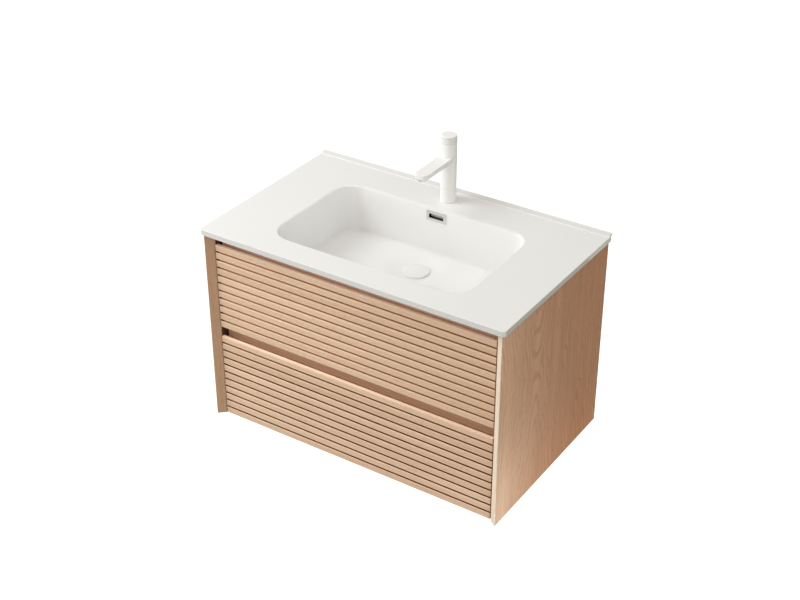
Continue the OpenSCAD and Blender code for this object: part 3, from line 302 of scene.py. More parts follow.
def add_node(tree, kind, inputs=None, **settings):
    """Adds a shader node, sets its options, and links or fills its inputs."""
    node = tree.nodes.new("ShaderNode" + kind)
    for key, value in settings.items():
        setattr(node, key, value)
    for key, value in (inputs or {}).items():
        if isinstance(value, bpy.types.NodeSocket):
            tree.links.new(value, node.inputs[key])
        else:
            node.inputs[key].default_value = value
    return node


def new_material(name):
    """An empty node material with a Principled shader: (material, tree, shader)."""
    material = bpy.data.materials.new(name)
    material.use_nodes = True
    tree = material.node_tree
    tree.nodes.clear()
    shader = add_node(tree, "BsdfPrincipled")
    out = add_node(tree, "OutputMaterial")
    tree.links.new(shader.outputs[0], out.inputs[0])
    return material, tree, shader


def object_place(tree, scale=(1, 1, 1)):
    """Object coordinates, scaled per axis."""
    coord = add_node(tree, "TexCoord")
    return add_node(tree, "Mapping", {"Vector": coord.outputs["Object"], "Scale": scale}).outputs[0]


def object_axis(tree, axis):
    """One of the object's own coordinates, in metres."""
    coord = add_node(tree, "TexCoord")
    return add_node(tree, "SeparateXYZ", {0: coord.outputs["Object"]}).outputs[axis]


def calc(tree, operation, *values, clamp=False):
    """The result of a Math node on the values."""
    return add_node(tree, "Math", dict(enumerate(values)), operation=operation, use_clamp=clamp).outputs[0]


def noise(tree, place, scale, detail=2.0, rough=0.5):
    """A noise value of about 0.5 at the given place."""
    return add_node(tree, "TexNoise", {"Vector": place, "Scale": scale, "Detail": detail,
                                       "Roughness": rough}).outputs[0]


def remap(tree, value, low, high, out_low, out_high):
    """Moves the range low..high onto out_low..out_high, held at both ends."""
    return add_node(tree, "MapRange", {0: value, 1: low, 2: high, 3: out_low, 4: out_high}).outputs[0]


def past(tree, axis, start, end):
    """A share that goes from 0 at the plane `start` to 1 at the plane `end` along an axis."""
    return remap(tree, object_axis(tree, axis), start, end, 0, 1)


def mix_colour(tree, share, first, second, mode="MIX"):
    """Mixes two colours by a share."""
    node = add_node(tree, "Mix", data_type="RGBA", blend_type=mode)
    for index, value in ((0, share), (6, first), (7, second)):
        if isinstance(value, bpy.types.NodeSocket):
            tree.links.new(value, node.inputs[index])
        else:
            node.inputs[index].default_value = value if index == 0 else (*value, 1)
    return node.outputs[2]


def tinted(tree, colour, tint, share=1.0):
    """The colour times the tint, by a share."""
    return mix_colour(tree, share, colour, tint, "MULTIPLY")


def add_bump(tree, shader, height, distance, strength=1.0):
    """Feeds a height, in units of `distance` metres, to a shader's normal."""
    bump = add_node(tree, "Bump", {"Height": height, "Distance": distance, "Strength": strength})
    tree.links.new(bump.outputs[0], shader.inputs["Normal"])


def glaze():
    """White glaze: a clear gloss over a body whose tone and level vary very slightly. Painted shade
    makes it greyer at the plate's front and right edges, on the ledge below its top, and at the lip
    and the wall of the bowl's rear; painted light makes the ledge's top a little paler."""
    material, tree, shader = new_material("glazed_ceramic")
    place = object_place(tree)
    front, side = -2 * PLATE_HALF[1], PLATE_HALF[0]
    ledge = TOP_Z + UPSTAND_H
    under_lip = past(tree, "Z", TOP_Z - 3.6 * MM, TOP_Z - 2.6 * MM)
    below_top = past(tree, "Z", TOP_Z - 0.02 * MM, TOP_Z - 0.4 * MM)
    lip = calc(tree, "MULTIPLY", past(tree, "Y", BOWL_REAR_Y - 3 * MM, BOWL_REAR_Y - 1 * MM), under_lip)
    below_lip = past(tree, "Z", TOP_Z - 3.6 * MM, TOP_Z - 5 * MM)
    wall = past(tree, "Y", BOWL_REAR_Y - 9 * MM, BOWL_REAR_Y - 4 * MM)
    tone = remap(tree, noise(tree, place, 6, 3), 0.35, 0.65, 0, 1)
    colour = mix_colour(tree, tone, (0.920, 0.931, 0.932), (0.932, 0.943, 0.944))
    # Painted shade, mask by mask, and painted light on the ledge's top.
    for share, grey in (
            (past(tree, "Y", front + 0.4 * MM, front), (0.80, 0.81, 0.805)),
            (past(tree, "X", side - 0.5 * MM, side), (0.67, 0.68, 0.65)),
            (past(tree, "Z", TOP_Z + 0.2 * MM, TOP_Z + 1 * MM), (0.79, 0.80, 0.795)),
            (past(tree, "Z", ledge - 1 * MM, ledge - 0.2 * MM), (0.955, 0.965, 0.965)),
            (calc(tree, "MULTIPLY", lip, below_top), (0.835, 0.845, 0.84)),
            (calc(tree, "MULTIPLY", wall, below_lip), (0.90, 0.905, 0.895))):
        colour = mix_colour(tree, share, colour, grey)
    tree.links.new(colour, shader.inputs["Base Color"])
    rough = remap(tree, noise(tree, place, 160, 2), 0.3, 0.7, 0.03, 0.05)
    tree.links.new(rough, shader.inputs["Roughness"])
    shader.inputs["IOR"].default_value = 1.5
    add_bump(tree, shader, noise(tree, place, 14, 1), 0.00025)
    return material


def shade_inside():
    """The unlit throat behind the overflow slot."""
    material, tree, shader = new_material("slot_shade")
    tone = noise(tree, object_place(tree), 90, 2)
    colour = mix_colour(tree, tone, (0.006, 0.006, 0.006), (0.012, 0.012, 0.011))
    tree.links.new(colour, shader.inputs["Base Color"])
    shader.inputs["Roughness"].default_value = 0.9
    return material


rings, slot_row = basin_rings()
brim = rings[slot_row]
on_rear = np.abs(brim[:, 1] - BOWL_REAR_Y) < 1e-6
on_slot = np.flatnonzero(on_rear & (np.abs(brim[:, 0]) <= SLOT_HALF_X + 1e-6))
bowl = loft(rings, False, False, [(slot_row, j) for j in on_slot[:-1]])
duct_leg = eased_box((-DUCT_HALF_X, DUCT_HALF_X), (DUCT_FRONT_Y, DUCT_BACK_Y),
                     (BOSS_Z, TOP_Z - PLATE_T + 1 * MM), DUCT_EASE, axis=2)
duct_run = eased_box((-DUCT_HALF_X, DUCT_HALF_X), (DRAIN_Y - 2 * MM, DUCT_BACK_Y),
                     (BOSS_Z, SHELL_Z + 6 * MM), DUCT_EASE, axis=2)
basin = add_mesh("basin_casting", *join([bowl, upstand(), duct_leg, duct_run]), sharp=60)
fit(basin, [glaze()], "cabinet", "ceramic", "basin_plate", "basin_bowl", "basin_duct")

slot_x = brim[on_slot, 0]
mouth_x = np.concatenate([slot_x, slot_x[::-1]])
mouth_z = TOP_Z - np.repeat([SLOT_LOW, SLOT_TOP], len(slot_x))
throat = [np.column_stack(np.broadcast_arrays(mouth_x, BOWL_REAR_Y + deep, mouth_z))
          for deep in (0, SLOT_DEEP)]
throat_verts, throat_faces = loft(throat, False, True)
throat_piece = add_mesh("overflow_throat", throat_verts, [face[::-1] for face in throat_faces])
fit(throat_piece, [shade_inside()], "cabinet", "ceramic")


# ---------------------------------------------------------------------------------------------
# Overflow trim: a chromed frame that clips into the slot in the bowl's rear wall. Its section
# runs round the slot: up the outer edge, over a flat face with round edges and down the sleeve.
# ---------------------------------------------------------------------------------------------
TRIM_HALF = (26.5 * MM, 12.5 * MM)
TRIM_R = 1.5 * MM
TRIM_OPEN = (19.5 * MM, 5.5 * MM)
TRIM_OPEN_R = 0.8 * MM
TRIM_EASE = 0.7 * MM
TRIM_Z = TOP_Z - 22 * MM
TRIM_FACE_Y = -112 * MM
TRIM_SLEEVE_Y = -110.6 * MM


def chrome(name, tint, gloss):
    """Chrome with a trace of water marks in its roughness, which runs over the range `gloss`."""
    material, tree, shader = new_material(name)
    marks = noise(tree, object_place(tree), 300, 4, 0.6)
    tree.links.new(remap(tree, marks, 0.4, 0.75, *gloss), shader.inputs["Roughness"])
    colour = mix_colour(tree, marks, tint, tuple(0.97 * c for c in tint))
    tree.links.new(colour, shader.inputs["Base Color"])
    shader.inputs["Metallic"].default_value = 1.0
    return material


def frame_ring(half, corner_r, y, steps=5):
    """A rounded rectangle in the X-Z plane about the trim's middle, anticlockwise in X and Z."""
    flat = np.vstack(corner_arcs(half[0] - corner_r, half[1] - corner_r, corner_r, steps))
    return np.column_stack([flat[:, 0], np.full(len(flat), y), TRIM_Z + flat[:, 1]])


def trim_rings():
    """Rings round the slot: outer side, face between its two rounded edges, inner side. A
    rounding of radius r has gone r (1 - cos a) across where it is r (1 - sin a) behind the face."""
    rings = [frame_ring(TRIM_HALF, TRIM_R, BOWL_REAR_Y)]
    for a in quarter(3):
        half = [h - TRIM_EASE * (1 - math.cos(a)) for h in TRIM_HALF]
        rings.append(frame_ring(half, TRIM_R, TRIM_FACE_Y + TRIM_EASE * (1 - math.sin(a))))
    for a in quarter(3)[::-1]:
        half = [h + TRIM_EASE * (1 - math.cos(a)) for h in TRIM_OPEN]
        rings.append(frame_ring(half, TRIM_OPEN_R, TRIM_FACE_Y + TRIM_EASE * (1 - math.sin(a))))
    rings.append(frame_ring(TRIM_OPEN, TRIM_OPEN_R, TRIM_SLEEVE_Y))
    return rings


CHROME = chrome("chrome", (0.80, 0.80, 0.81), (0.06, 0.16))
trim = add_mesh("overflow_trim", *loft(trim_rings(), False, False), sharp=50)
fit(trim, [CHROME], "cabinet", "chrome", "overflow_frame")


# ---------------------------------------------------------------------------------------------
# Drain: a chromed waste body clamped in the bowl's drain hole, and a white domed cap that lifts
# on its stem to open. Both are turned on the drain's axis.
# ---------------------------------------------------------------------------------------------
DRAIN_Z = -55 * MM
FLANGE_R = 33.5 * MM
FLANGE_T = 1.5 * MM
WASTE_R = 20 * MM
WASTE_IN = 17 * MM
WASTE_BOTTOM = -110 * MM
CAP_R = 32 * MM
CAP_Z = DRAIN_Z + 1.8 * MM
CAP_EDGE = 1.7 * MM
CAP_CROWN = 3.8 * MM
CAP_ROUND = 1.3 * MM
STEM_R = 4 * MM
STEM_LOW = DRAIN_Z - 45.5 * MM
GUIDE_IN = 4.1 * MM
GUIDE_OUT = 7 * MM
GUIDE_Z = (DRAIN_Z - 37 * MM, DRAIN_Z - 34 * MM)
ARM_HALF = 2 * MM


def turned(profile, centre=(0, 0), around=96, closed=False):
    """A surface of revolution about a vertical axis through `centre`: each (r, z) of the profile
    becomes a circle of `around` points, whose radius is 0.02 mm at least. The ends are capped, or
    `closed` joins the profile's last point to its first."""
    r, z = np.asarray(profile, float).T[:, :, None]
    r = np.maximum(r, 0.02 * MM)
    turn = np.linspace(0, 2 * math.pi, around, endpoint=False)
    x, y = centre[0] + r * np.cos(turn), centre[1] + r * np.sin(turn)
    rings = np.stack(np.broadcast_arrays(x, y, z), axis=-1)
    if closed:
        rings = np.concatenate([rings, rings[:1]])
    return loft(rings, not closed, not closed)


def rounded_profile(points, radius, steps=3):
    """A profile whose corners between its ends are rounded to `radius`, or less on short sides: the
    arc touches both sides at radius / tan(half the corner's angle) from the corner."""
    pts = [np.array(p, float) for p in points]
    out = [pts[0]]
    for before, here, after in zip(pts, pts[1:], pts[2:]):
        a, b = before - here, after - here
        la, lb = np.linalg.norm(a), np.linalg.norm(b)
        a, b = a / la, b / lb
        half = math.acos(max(-1, min(1, a @ b))) / 2
        if abs(half - math.pi / 2) < 0.02:
            out.append(here)
            continue
        back = min(radius / math.tan(half), 0.45 * la, 0.45 * lb)
        r = back * math.tan(half)
        centre = here + (a + b) / np.linalg.norm(a + b) * (r / math.sin(half))
        first, last = here + back * a - centre, here + back * b - centre
        sweep = math.atan2(first[0] * last[1] - first[1] * last[0], first @ last)
        t = math.atan2(first[1], first[0]) + sweep * np.arange(steps + 1) / steps
        out += list(centre + r * np.column_stack([np.cos(t), np.sin(t)]))
    out.append(pts[-1])
    return out


def satin_paint(name, base, rough, top=None):
    """Satin white paint on metal: an even tone with a fine orange-peel surface. Faces that look
    up take the tone `top`, painted light."""
    material, tree, shader = new_material(name)
    place = object_place(tree)
    tone = remap(tree, noise(tree, place, 30, 2), 0.3, 0.7, 0.985, 1.0)
    colour = mix_colour(tree, tone, tuple(0.9 * c for c in base), base)
    if top:
        facing = add_node(tree, "SeparateXYZ", {0: add_node(tree, "NewGeometry").outputs["True Normal"]})
        colour = mix_colour(tree, remap(tree, facing.outputs["Z"], 0.7, 0.95, 0, 1), colour, top)
    tree.links.new(colour, shader.inputs["Base Color"])
    tree.links.new(remap(tree, noise(tree, place, 700, 2), 0.3, 0.7, rough - 0.03, rough + 0.03),
                   shader.inputs["Roughness"])
    add_bump(tree, shader, noise(tree, place, 900, 1), 0.00002)
    return material


def face_values(obj, kind):
    """The `center` or `normal` of each of an object's faces, as (n, 3) numbers."""
    values = np.empty(3 * len(obj.data.polygons), np.float32)
    obj.data.polygons.foreach_get(kind, values)
    return values.reshape(-1, 3)


def use_second_material(obj, chosen):
    """Gives an object's chosen faces its second material."""
    obj.data.polygons.foreach_set("material_index", chosen.astype(np.int32))


CAP_WHITE = satin_paint("cap_white", (0.905, 0.91, 0.905), 0.16)
dome_r = np.linspace(CAP_R - 1.2 * MM, 0, 16)
dome = np.column_stack([dome_r, CAP_Z + CAP_EDGE + CAP_CROWN * (1 - (dome_r / CAP_R) ** 2.6)])
cap_rim = rounded_profile([(0, CAP_Z), (CAP_R, CAP_Z), (CAP_R, CAP_Z + CAP_EDGE), dome[1]], CAP_ROUND, 4)
stem = [(STEM_R - 1 * MM, STEM_LOW), (STEM_R, STEM_LOW + 1 * MM), (STEM_R, CAP_Z + 0.5 * MM)]
cap = add_mesh("drain_cap", *join([turned(cap_rim[:-1] + list(dome[1:]), (0, DRAIN_Y)),
                                   turned(stem, (0, DRAIN_Y), 32)]))
fit(cap, [CAP_WHITE], "drain_plug", "tap_white", "waste_cap")

tube = rounded_profile([
    (WASTE_IN, WASTE_BOTTOM), (WASTE_R, WASTE_BOTTOM), (WASTE_R, DRAIN_Z), (FLANGE_R, DRAIN_Z),
    (FLANGE_R, DRAIN_Z + FLANGE_T), (WASTE_IN, DRAIN_Z + FLANGE_T), (WASTE_IN, WASTE_BOTTOM)], 0.6 * MM)
guide_low, guide_top = GUIDE_Z
guide = rounded_profile([(GUIDE_IN, guide_low), (GUIDE_OUT, guide_low), (GUIDE_OUT, guide_top),
                         (GUIDE_IN, guide_top), (GUIDE_IN, guide_low)], 0.3 * MM)
arm_x = (GUIDE_OUT - 1 * MM, WASTE_IN + 0.5 * MM)
arms = [eased_box(span, (DRAIN_Y - ARM_HALF, DRAIN_Y + ARM_HALF), GUIDE_Z, 0.3 * MM)
        for span in ((-arm_x[1], -arm_x[0]), arm_x)]
waste = add_mesh("waste_outlet_body", *join([turned(tube[:-1], (0, DRAIN_Y), closed=True),
                                             turned(guide[:-1], (0, DRAIN_Y), 32, closed=True), *arms]))
fit(waste, [CHROME, CAP_WHITE], "cabinet", "chrome", "waste_body")
use_second_material(waste, face_values(waste, "center")[:, 2] > DRAIN_Z - 1 * MM)


# ---------------------------------------------------------------------------------------------
# Mixer tap: a round tower with a flat spout and a turning top, all in satin white paint. Tower
# and top are turned on one axis and the spout is an eased flat bar with a rounded tip.
# ---------------------------------------------------------------------------------------------
TAP_Y = -59 * MM
TAP_R = 19 * MM
TAP_BASE = TOP_Z + 0.2 * MM
TAP_SEAM = 191 * MM
TAP_TOP = 243 * MM
HANDLE_LOW = TAP_SEAM + 0.4 * MM
HANDLE_EDGE_R = 1.8 * MM
GROOVE_N = 4
GROOVE_W = 1.0 * MM
GROOVE_DEEP = 0.5 * MM
GROOVE_PITCH = 4.5 * MM
GROOVE_TOP = TAP_TOP - 5 * MM
SPOUT_HALF = 17 * MM
SPOUT_T = 12 * MM
SPOUT_UNDER = TAP_SEAM - SPOUT_T
SPOUT_TIP_Y = -186 * MM
SPOUT_TIP_R = 12 * MM
AERATOR_Y = -175 * MM
AERATOR_R = 10 * MM
AERATOR_DROP = 5 * MM
SCREEN_R = (5.5 * MM, 7 * MM)
SCREEN_DROP = 2 * MM

# The paler tone on faces that look up is painted light.
TAP_WHITE = satin_paint("tap_white_paint", (0.905, 0.918, 0.905), 0.40, (0.985, 0.99, 0.985))
# Grey for the faces inside the grooves: painted shade.
TAP_GROOVE_SHADE = satin_paint("tap_groove_shade", (0.58, 0.58, 0.55), 0.5)
SATIN_CHROME = chrome("satin_chrome", (0.93, 0.93, 0.92), (0.42, 0.5))
tower = rounded_profile([(0, TAP_BASE), (TAP_R, TAP_BASE), (TAP_R, TAP_SEAM), (0, TAP_SEAM)], 0.5 * MM)
tap_tower = add_mesh("tap_tower", *turned(tower, (0, TAP_Y), 128))
fit(tap_tower, [TAP_WHITE], "cabinet", "tap_white", "tap_body")

handle = [(0, HANDLE_LOW), (TAP_R, HANDLE_LOW)]
for low in GROOVE_TOP - GROOVE_PITCH * np.arange(GROOVE_N)[::-1]:
    handle += [(TAP_R, low), (TAP_R - GROOVE_DEEP, low),
               (TAP_R - GROOVE_DEEP, low + GROOVE_W), (TAP_R, low + GROOVE_W)]
handle = rounded_profile(handle + [(TAP_R, TAP_TOP - HANDLE_EDGE_R)], 0.35 * MM)
handle += [(TAP_R - HANDLE_EDGE_R * (1 - math.cos(a)), TAP_TOP - HANDLE_EDGE_R * (1 - math.sin(a)))
           for a in quarter(8)]
handle += [(8 * MM, TAP_TOP), (0, TAP_TOP)]
tap_top = add_mesh("tap_turning_top", *turned(handle, (0, TAP_Y), 128), sharp=70)
fit(tap_top, [TAP_WHITE, TAP_GROOVE_SHADE], "tap_top", "tap_white", "tap_handle")
# The faces inside the grooves take the painted shade.
x, y, z = face_values(tap_top, "center").T
in_groove = np.hypot(x, y - TAP_Y) < TAP_R - 0.6 * GROOVE_DEEP
use_second_material(tap_top, in_groove & (z > HANDLE_LOW + 5 * MM) & (z < GROOVE_TOP + 2 * GROOVE_W))

tip = quarter(8)
left_tip = np.column_stack([SPOUT_TIP_R * (1 - np.cos(tip)) - SPOUT_HALF,
                            SPOUT_TIP_Y + SPOUT_TIP_R * (1 - np.sin(tip))])
outline = np.vstack([[(SPOUT_HALF, TAP_Y), (-SPOUT_HALF, TAP_Y)], left_tip, left_tip[::-1] * (-1, 1)])
spout = add_mesh("tap_spout_bar", *eased_prism(outline, 2, SPOUT_UNDER, TAP_SEAM, 1.0 * MM, 4), sharp=50)
fit(spout, [TAP_WHITE], "cabinet", "tap_white", "tap_spout")

screen_z, ring_z = SPOUT_UNDER - SCREEN_DROP, SPOUT_UNDER - AERATOR_DROP
screen = rounded_profile([(0, screen_z), (SCREEN_R[0], screen_z), (SCREEN_R[1], ring_z), (AERATOR_R, ring_z),
                          (AERATOR_R, SPOUT_UNDER + 0.2 * MM), (0, SPOUT_UNDER + 0.2 * MM)], 0.5 * MM)
aerator = add_mesh("tap_aerator_ring", *turned(screen, (0, AERATOR_Y), 48))
fit(aerator, [SATIN_CHROME], "cabinet", "chrome", "tap_aerator")


# ---------------------------------------------------------------------------------------------
# Side panels: 18 mm boards faced in light brown oak with upright grain. Their front edges are
# bevelled from the outside back to the inside, and their edges are eased.
# ---------------------------------------------------------------------------------------------
PANEL_OUT = 392 * MM
PANEL_IN = 374 * MM
CAB_LOW = -440 * MM
CAB_TOP = TOP_Z - PLATE_T
CAB_FRONT = -484 * MM
SLAT_FACE = -470 * MM
LAND = 2 * MM
FIGURE = {"middle": -325 * MM, "waist": -100 * MM, "rise": 0.16, "spacing": 12 * MM, "share": 1.1}


def arches(tree, stretched, middle, waist, rise, spacing, share):
    """The dark lines of a flat-sawn board, nested arches that open up and down from the waist: one
    line for each `spacing` of |y - middle| - rise |z - waist|. Slow noise moves them, a square root
    rounds the fold on the middle, and their strength is `share` at most."""
    wander = 50 * MM
    fold = 0.0006
    off = calc(tree, "ADD", object_axis(tree, "Y"), -middle)
    off = calc(tree, "MULTIPLY_ADD", noise(tree, stretched(5, 14), 1, 3, 0.6), wander, off)
    off = calc(tree, "ADD", off, -wander / 2)
    bent = calc(tree, "SQRT", calc(tree, "ADD", calc(tree, "MULTIPLY", off, off), fold))
    far = calc(tree, "ABSOLUTE", calc(tree, "ADD", object_axis(tree, "Z"), -waist))
    lift = calc(tree, "MULTIPLY_ADD", far, -rise, bent)
    lift = calc(tree, "MULTIPLY_ADD", noise(tree, stretched(2, 9), 1, 3, 0.6), wander, lift)
    ring = calc(tree, "SINE", calc(tree, "MULTIPLY", lift, 2 * math.pi / spacing))
    faint = remap(tree, noise(tree, stretched(4, 22), 1, 2), 0.35, 0.6, 0.15, 1)
    return calc(tree, "MULTIPLY", remap(tree, ring, 0.3, 1.0, 0, share), faint)


def own_number(tree, name):
    """A number that each point of a piece carries in the attribute `name`."""
    return add_node(tree, "Attribute", attribute_name=name).outputs["Fac"]


def oak(name, grain, tones, streak, pores, pore_size=1.0, figure=None, board=False, shift=0.0,
        edges=(), painted_light=None):
    """Oak with its grain along axis `grain`. `tones` are a dark and a light colour; broad bands
    and fine fibres mix them, and short dark pores lie along the grain. `figure` adds arches.
    `board` gives each value of the board attribute its own cut, and `shift` moves the cut.
    `edges` = (axis, from, to, tint) multiplies the colour by a tint past a plane, to paint light
    and shade there. The last argument, a function of (tree, shader, colour), may paint light and
    shade into the colour last."""
    material, tree, shader = new_material(name)
    coord = add_node(tree, "TexCoord").outputs["Object"]
    if board:
        own = own_number(tree, "board")
        away = add_node(tree, "VectorMath", {0: (7.3, 11.9, 5.7), "Scale": own}, operation="SCALE").outputs[0]
        coord = add_node(tree, "VectorMath", {0: coord, 1: away}, operation="ADD").outputs[0]
    elif shift:
        coord = add_node(tree, "VectorMath", {0: coord, 1: (shift,) * 3}, operation="ADD").outputs[0]

    def stretched(along, across):
        scale = [across] * 3
        scale[grain] = along
        return add_node(tree, "VectorMath", {0: coord, 1: scale}, operation="MULTIPLY").outputs[0]

    band = noise(tree, stretched(1.1, 26), 1, 3, 0.55)
    fibre = noise(tree, stretched(5, 420), 1, 3, 0.6)
    thread = noise(tree, stretched(14, 1500), 1, 2, 0.5)
    total = calc(tree, "MULTIPLY", band, 0.55)
    total = calc(tree, "MULTIPLY_ADD", fibre, streak, total)
    total = calc(tree, "MULTIPLY_ADD", thread, 0.3 * streak, total)
    middle = 0.5 * (0.55 + 1.3 * streak)
    mix = remap(tree, total, middle - 0.2, middle + 0.2, 0, 1)
    if figure:
        mix = calc(tree, "SUBTRACT", mix, arches(tree, stretched, **figure), clamp=True)
    colour = mix_colour(tree, mix, *tones)
    dash = noise(tree, stretched(60 / pore_size, 2600 / pore_size), 1, 2, 0.5)
    gate = remap(tree, noise(tree, stretched(3, 40), 1, 2, 0.5), 0.35, 0.65, 0.62, 0.55)
    dash = remap(tree, calc(tree, "SUBTRACT", dash, gate), 0.0, 0.05, 0, pores)
    colour = mix_colour(tree, dash, colour, tuple(0.45 * c for c in tones[0]))
    if board:
        random = add_node(tree, "TexWhiteNoise", {"W": own}, noise_dimensions="1D").outputs[0]
        colour = tinted(tree, colour, mix_colour(tree, random, (1.0, 0.975, 0.95), (0.985, 1.0, 1.0)))
        colour = tinted(tree, colour, remap(tree, random, 0, 1, 0.955, 1.03))
    for axis, start, end, tint in edges:
        colour = tinted(tree, colour, tint, past(tree, axis, start, end))
    if painted_light:
        colour = painted_light(tree, shader, colour)
    tree.links.new(colour, shader.inputs["Base Color"])
    tree.links.new(remap(tree, fibre, 0.3, 0.7, 0.56, 0.44), shader.inputs["Roughness"])
    add_bump(tree, shader, calc(tree, "MULTIPLY_ADD", dash, -0.8, fibre), 0.00012, 0.7)
    return material


# The two Y bands darken the panels toward their rear: painted shade.
PANEL_OAK = oak("panel_oak", 2, ((0.755, 0.46, 0.292), (0.97, 0.655, 0.442)), 0.5, 0.45,
                figure=FIGURE,
                edges=(("Y", -450 * MM, -310 * MM, (0.765, 0.685, 0.64)),
                       ("Y", -310 * MM, -80 * MM, (0.897, 0.825, 0.755))))
# Copies of the panel oak for the bevels: a paler one with painted light on the right, a darker one with
# painted shade on the left.
RIGHT_BEVEL_LIT_OAK = oak("bevel_right_painted_light_oak", 2, ((0.93, 0.74, 0.545), (1.0, 0.94, 0.79)), 0.5, 0.45)
LEFT_BEVEL_SHADED_OAK = oak("bevel_left_painted_shade_oak", 2, ((0.56, 0.34, 0.21), (0.71, 0.47, 0.31)), 0.5, 0.45)
right_outline = np.array([(PANEL_IN, SLAT_FACE), (PANEL_OUT - LAND, CAB_FRONT), (PANEL_OUT, CAB_FRONT),
                          (PANEL_OUT, 0), (PANEL_IN, 0)])
for node, outline, bevel_oak in (("side_panel_right", right_outline, RIGHT_BEVEL_LIT_OAK),
                                 ("side_panel_left", right_outline[::-1] * (-1, 1), LEFT_BEVEL_SHADED_OAK)):
    panel = add_mesh(node + "_board", *eased_prism(outline, 2, CAB_LOW, CAB_TOP, 0.6 * MM), sharp=60)
    fit(panel, [PANEL_OAK, bevel_oak], "cabinet", "panel_oak", node)
    # The bevel faces take their panel's copy, lit on the right and shaded on the left.
    use_second_material(panel, face_values(panel, "normal")[:, 1] < -0.5)


# ---------------------------------------------------------------------------------------------
# Drawer fronts: eleven oak slats on each board, with the grain along them. Every slat has its own
# cut of timber. Painted shade darkens the gaps and the board. The board's top is a finger pull.
# ---------------------------------------------------------------------------------------------
FRONT_HALF = PANEL_IN - 2 * MM
LOWER_Z = -438 * MM
UPPER_Z = -190 * MM
SLAT_N = 11
SLAT_PITCH = 20.5 * MM
SLAT_H = 16 * MM
FRONT_H = (SLAT_N - 1) * SLAT_PITCH + SLAT_H
SLAT_BACK = -462 * MM
BOARD_BACK = -450 * MM
BOARD_T = BOARD_BACK - SLAT_BACK
SLAT_EASE = 1.2 * MM
# Painted shade in the grooves: low and high up the fronts, toward the right and at the left ends.
GROOVE_SHADE_LOW = (0.24, 0.105, 0.04)
GROOVE_SHADE_HIGH = (0.74, 0.54, 0.39)
GROOVE_SHADE_RIGHT = (0.70, 0.68, 0.64)
GROOVE_SHADE_END = (0.16, 0.10, 0.06)


def slat_shade(tree, shader, colour):
    """Painted light and shade on the slats, by two numbers that their points carry. `rise` goes from
    0 to 1 up each slat, whose top edge is paler with a painted highlight, and is 2 on the palest
    edge. `groove` is the share of the depth between two slats: painted shade multiplies the colour
    there by a tint that goes from low to high up the fronts, by one toward the right and by one at
    the left ends, and it shines less."""
    rise = own_number(tree, "rise")
    colour = tinted(tree, colour, calc(tree, "MULTIPLY", remap(tree, rise, 0.74, 0.86, 0.955, 1.09),
                                       remap(tree, rise, 1.0, 2.0, 1.0, 1.4)))
    inside = remap(tree, own_number(tree, "groove"), 0.0, 0.08, 0, 1)
    dark = mix_colour(tree, past(tree, "Z", -280 * MM, -150 * MM), GROOVE_SHADE_LOW, GROOVE_SHADE_HIGH)
    dark = tinted(tree, dark, GROOVE_SHADE_RIGHT, past(tree, "X", -250 * MM, FRONT_HALF))
    dark = tinted(tree, dark, GROOVE_SHADE_END, past(tree, "X", 7.5 * MM - FRONT_HALF, 6 * MM - FRONT_HALF))
    tree.links.new(remap(tree, inside, 0, 1, 0.3, 0.05), shader.inputs["Specular IOR Level"])
    return tinted(tree, colour, dark, inside)


def mark(obj, name, values):
    """Stores one number for each point of an object in the attribute `name`."""
    attribute = obj.data.attributes.new(name, "FLOAT", "POINT")
    attribute.data.foreach_set("value", values.astype(np.float32))


# The X tints darken the slats toward the right and at their right ends: painted shade.
SLAT_OAK = oak("slat_oak", 0, ((0.825, 0.58, 0.41), (0.99, 0.742, 0.55)), 0.55, 0.42, 0.9, board=True,
               edges=(("X", -100 * MM, FRONT_HALF, (0.91, 0.87, 0.85)),
                      ("X", FRONT_HALF - 1.2 * MM, FRONT_HALF - 0.2 * MM, (0.62, 0.50, 0.42))),
               painted_light=slat_shade)
# A darker copy of the slats' oak for the board behind the gaps: painted shade.
SHADED_BOARD_OAK = oak("groove_oak", 0, ((0.50, 0.33, 0.22), (0.64, 0.45, 0.31)), 0.5, 0.4)
for body, prefix, z0, first_cut in (("upper_drawer", "upper_front", UPPER_Z, 0.37),
                                    ("lower_drawer", "lower_front", LOWER_Z, 5.11)):
    slats = [eased_box((-FRONT_HALF, FRONT_HALF), (SLAT_FACE, SLAT_BACK), (low, low + SLAT_H), SLAT_EASE, 4)
             for low in z0 + SLAT_PITCH * np.arange(SLAT_N)]
    verts, faces = join(slats)
    row = np.arange(len(verts)) // len(slats[0][0])
    y, z = verts[:, 1], verts[:, 2]
    depth = np.clip((y - SLAT_FACE - SLAT_EASE) / (SLAT_BACK - SLAT_FACE - 2 * SLAT_EASE), 0, 1)
    open_air = (z > z0 + FRONT_H - SLAT_EASE - 1e-5) | (z < z0 + SLAT_EASE + 1e-5)
    rise = (z - z0 - SLAT_PITCH * row) / SLAT_H
    # The lower front's top face gets the strongest painted light.
    if body == "lower_drawer":
        rise[z > z0 + FRONT_H - 1e-5] = 2
    slat_set = add_mesh(prefix + "_slat_set", verts, faces, sharp=60)
    mark(slat_set, "board", row * 0.618 + first_cut)
    mark(slat_set, "groove", np.where(open_air, 0, depth))
    mark(slat_set, "rise", rise)
    fit(slat_set, [SLAT_OAK], body, "front_oak", prefix + "_slats")
    outline = [(SLAT_BACK, z0), (BOARD_BACK, z0), (BOARD_BACK, z0 + FRONT_H - BOARD_T),
               (SLAT_BACK, z0 + FRONT_H)]
    board = add_mesh(prefix + "_backing", *eased_prism(outline, 0, -FRONT_HALF, FRONT_HALF, 0.4 * MM),
                     sharp=60)
    fit(board, [SHADED_BOARD_OAK, SLAT_OAK], body, "groove_oak", prefix + "_board")
    # The board's upward faces take the slats' oak, the rest the shaded copy.
    use_second_material(board, face_values(board, "normal")[:, 2] > 0.3)


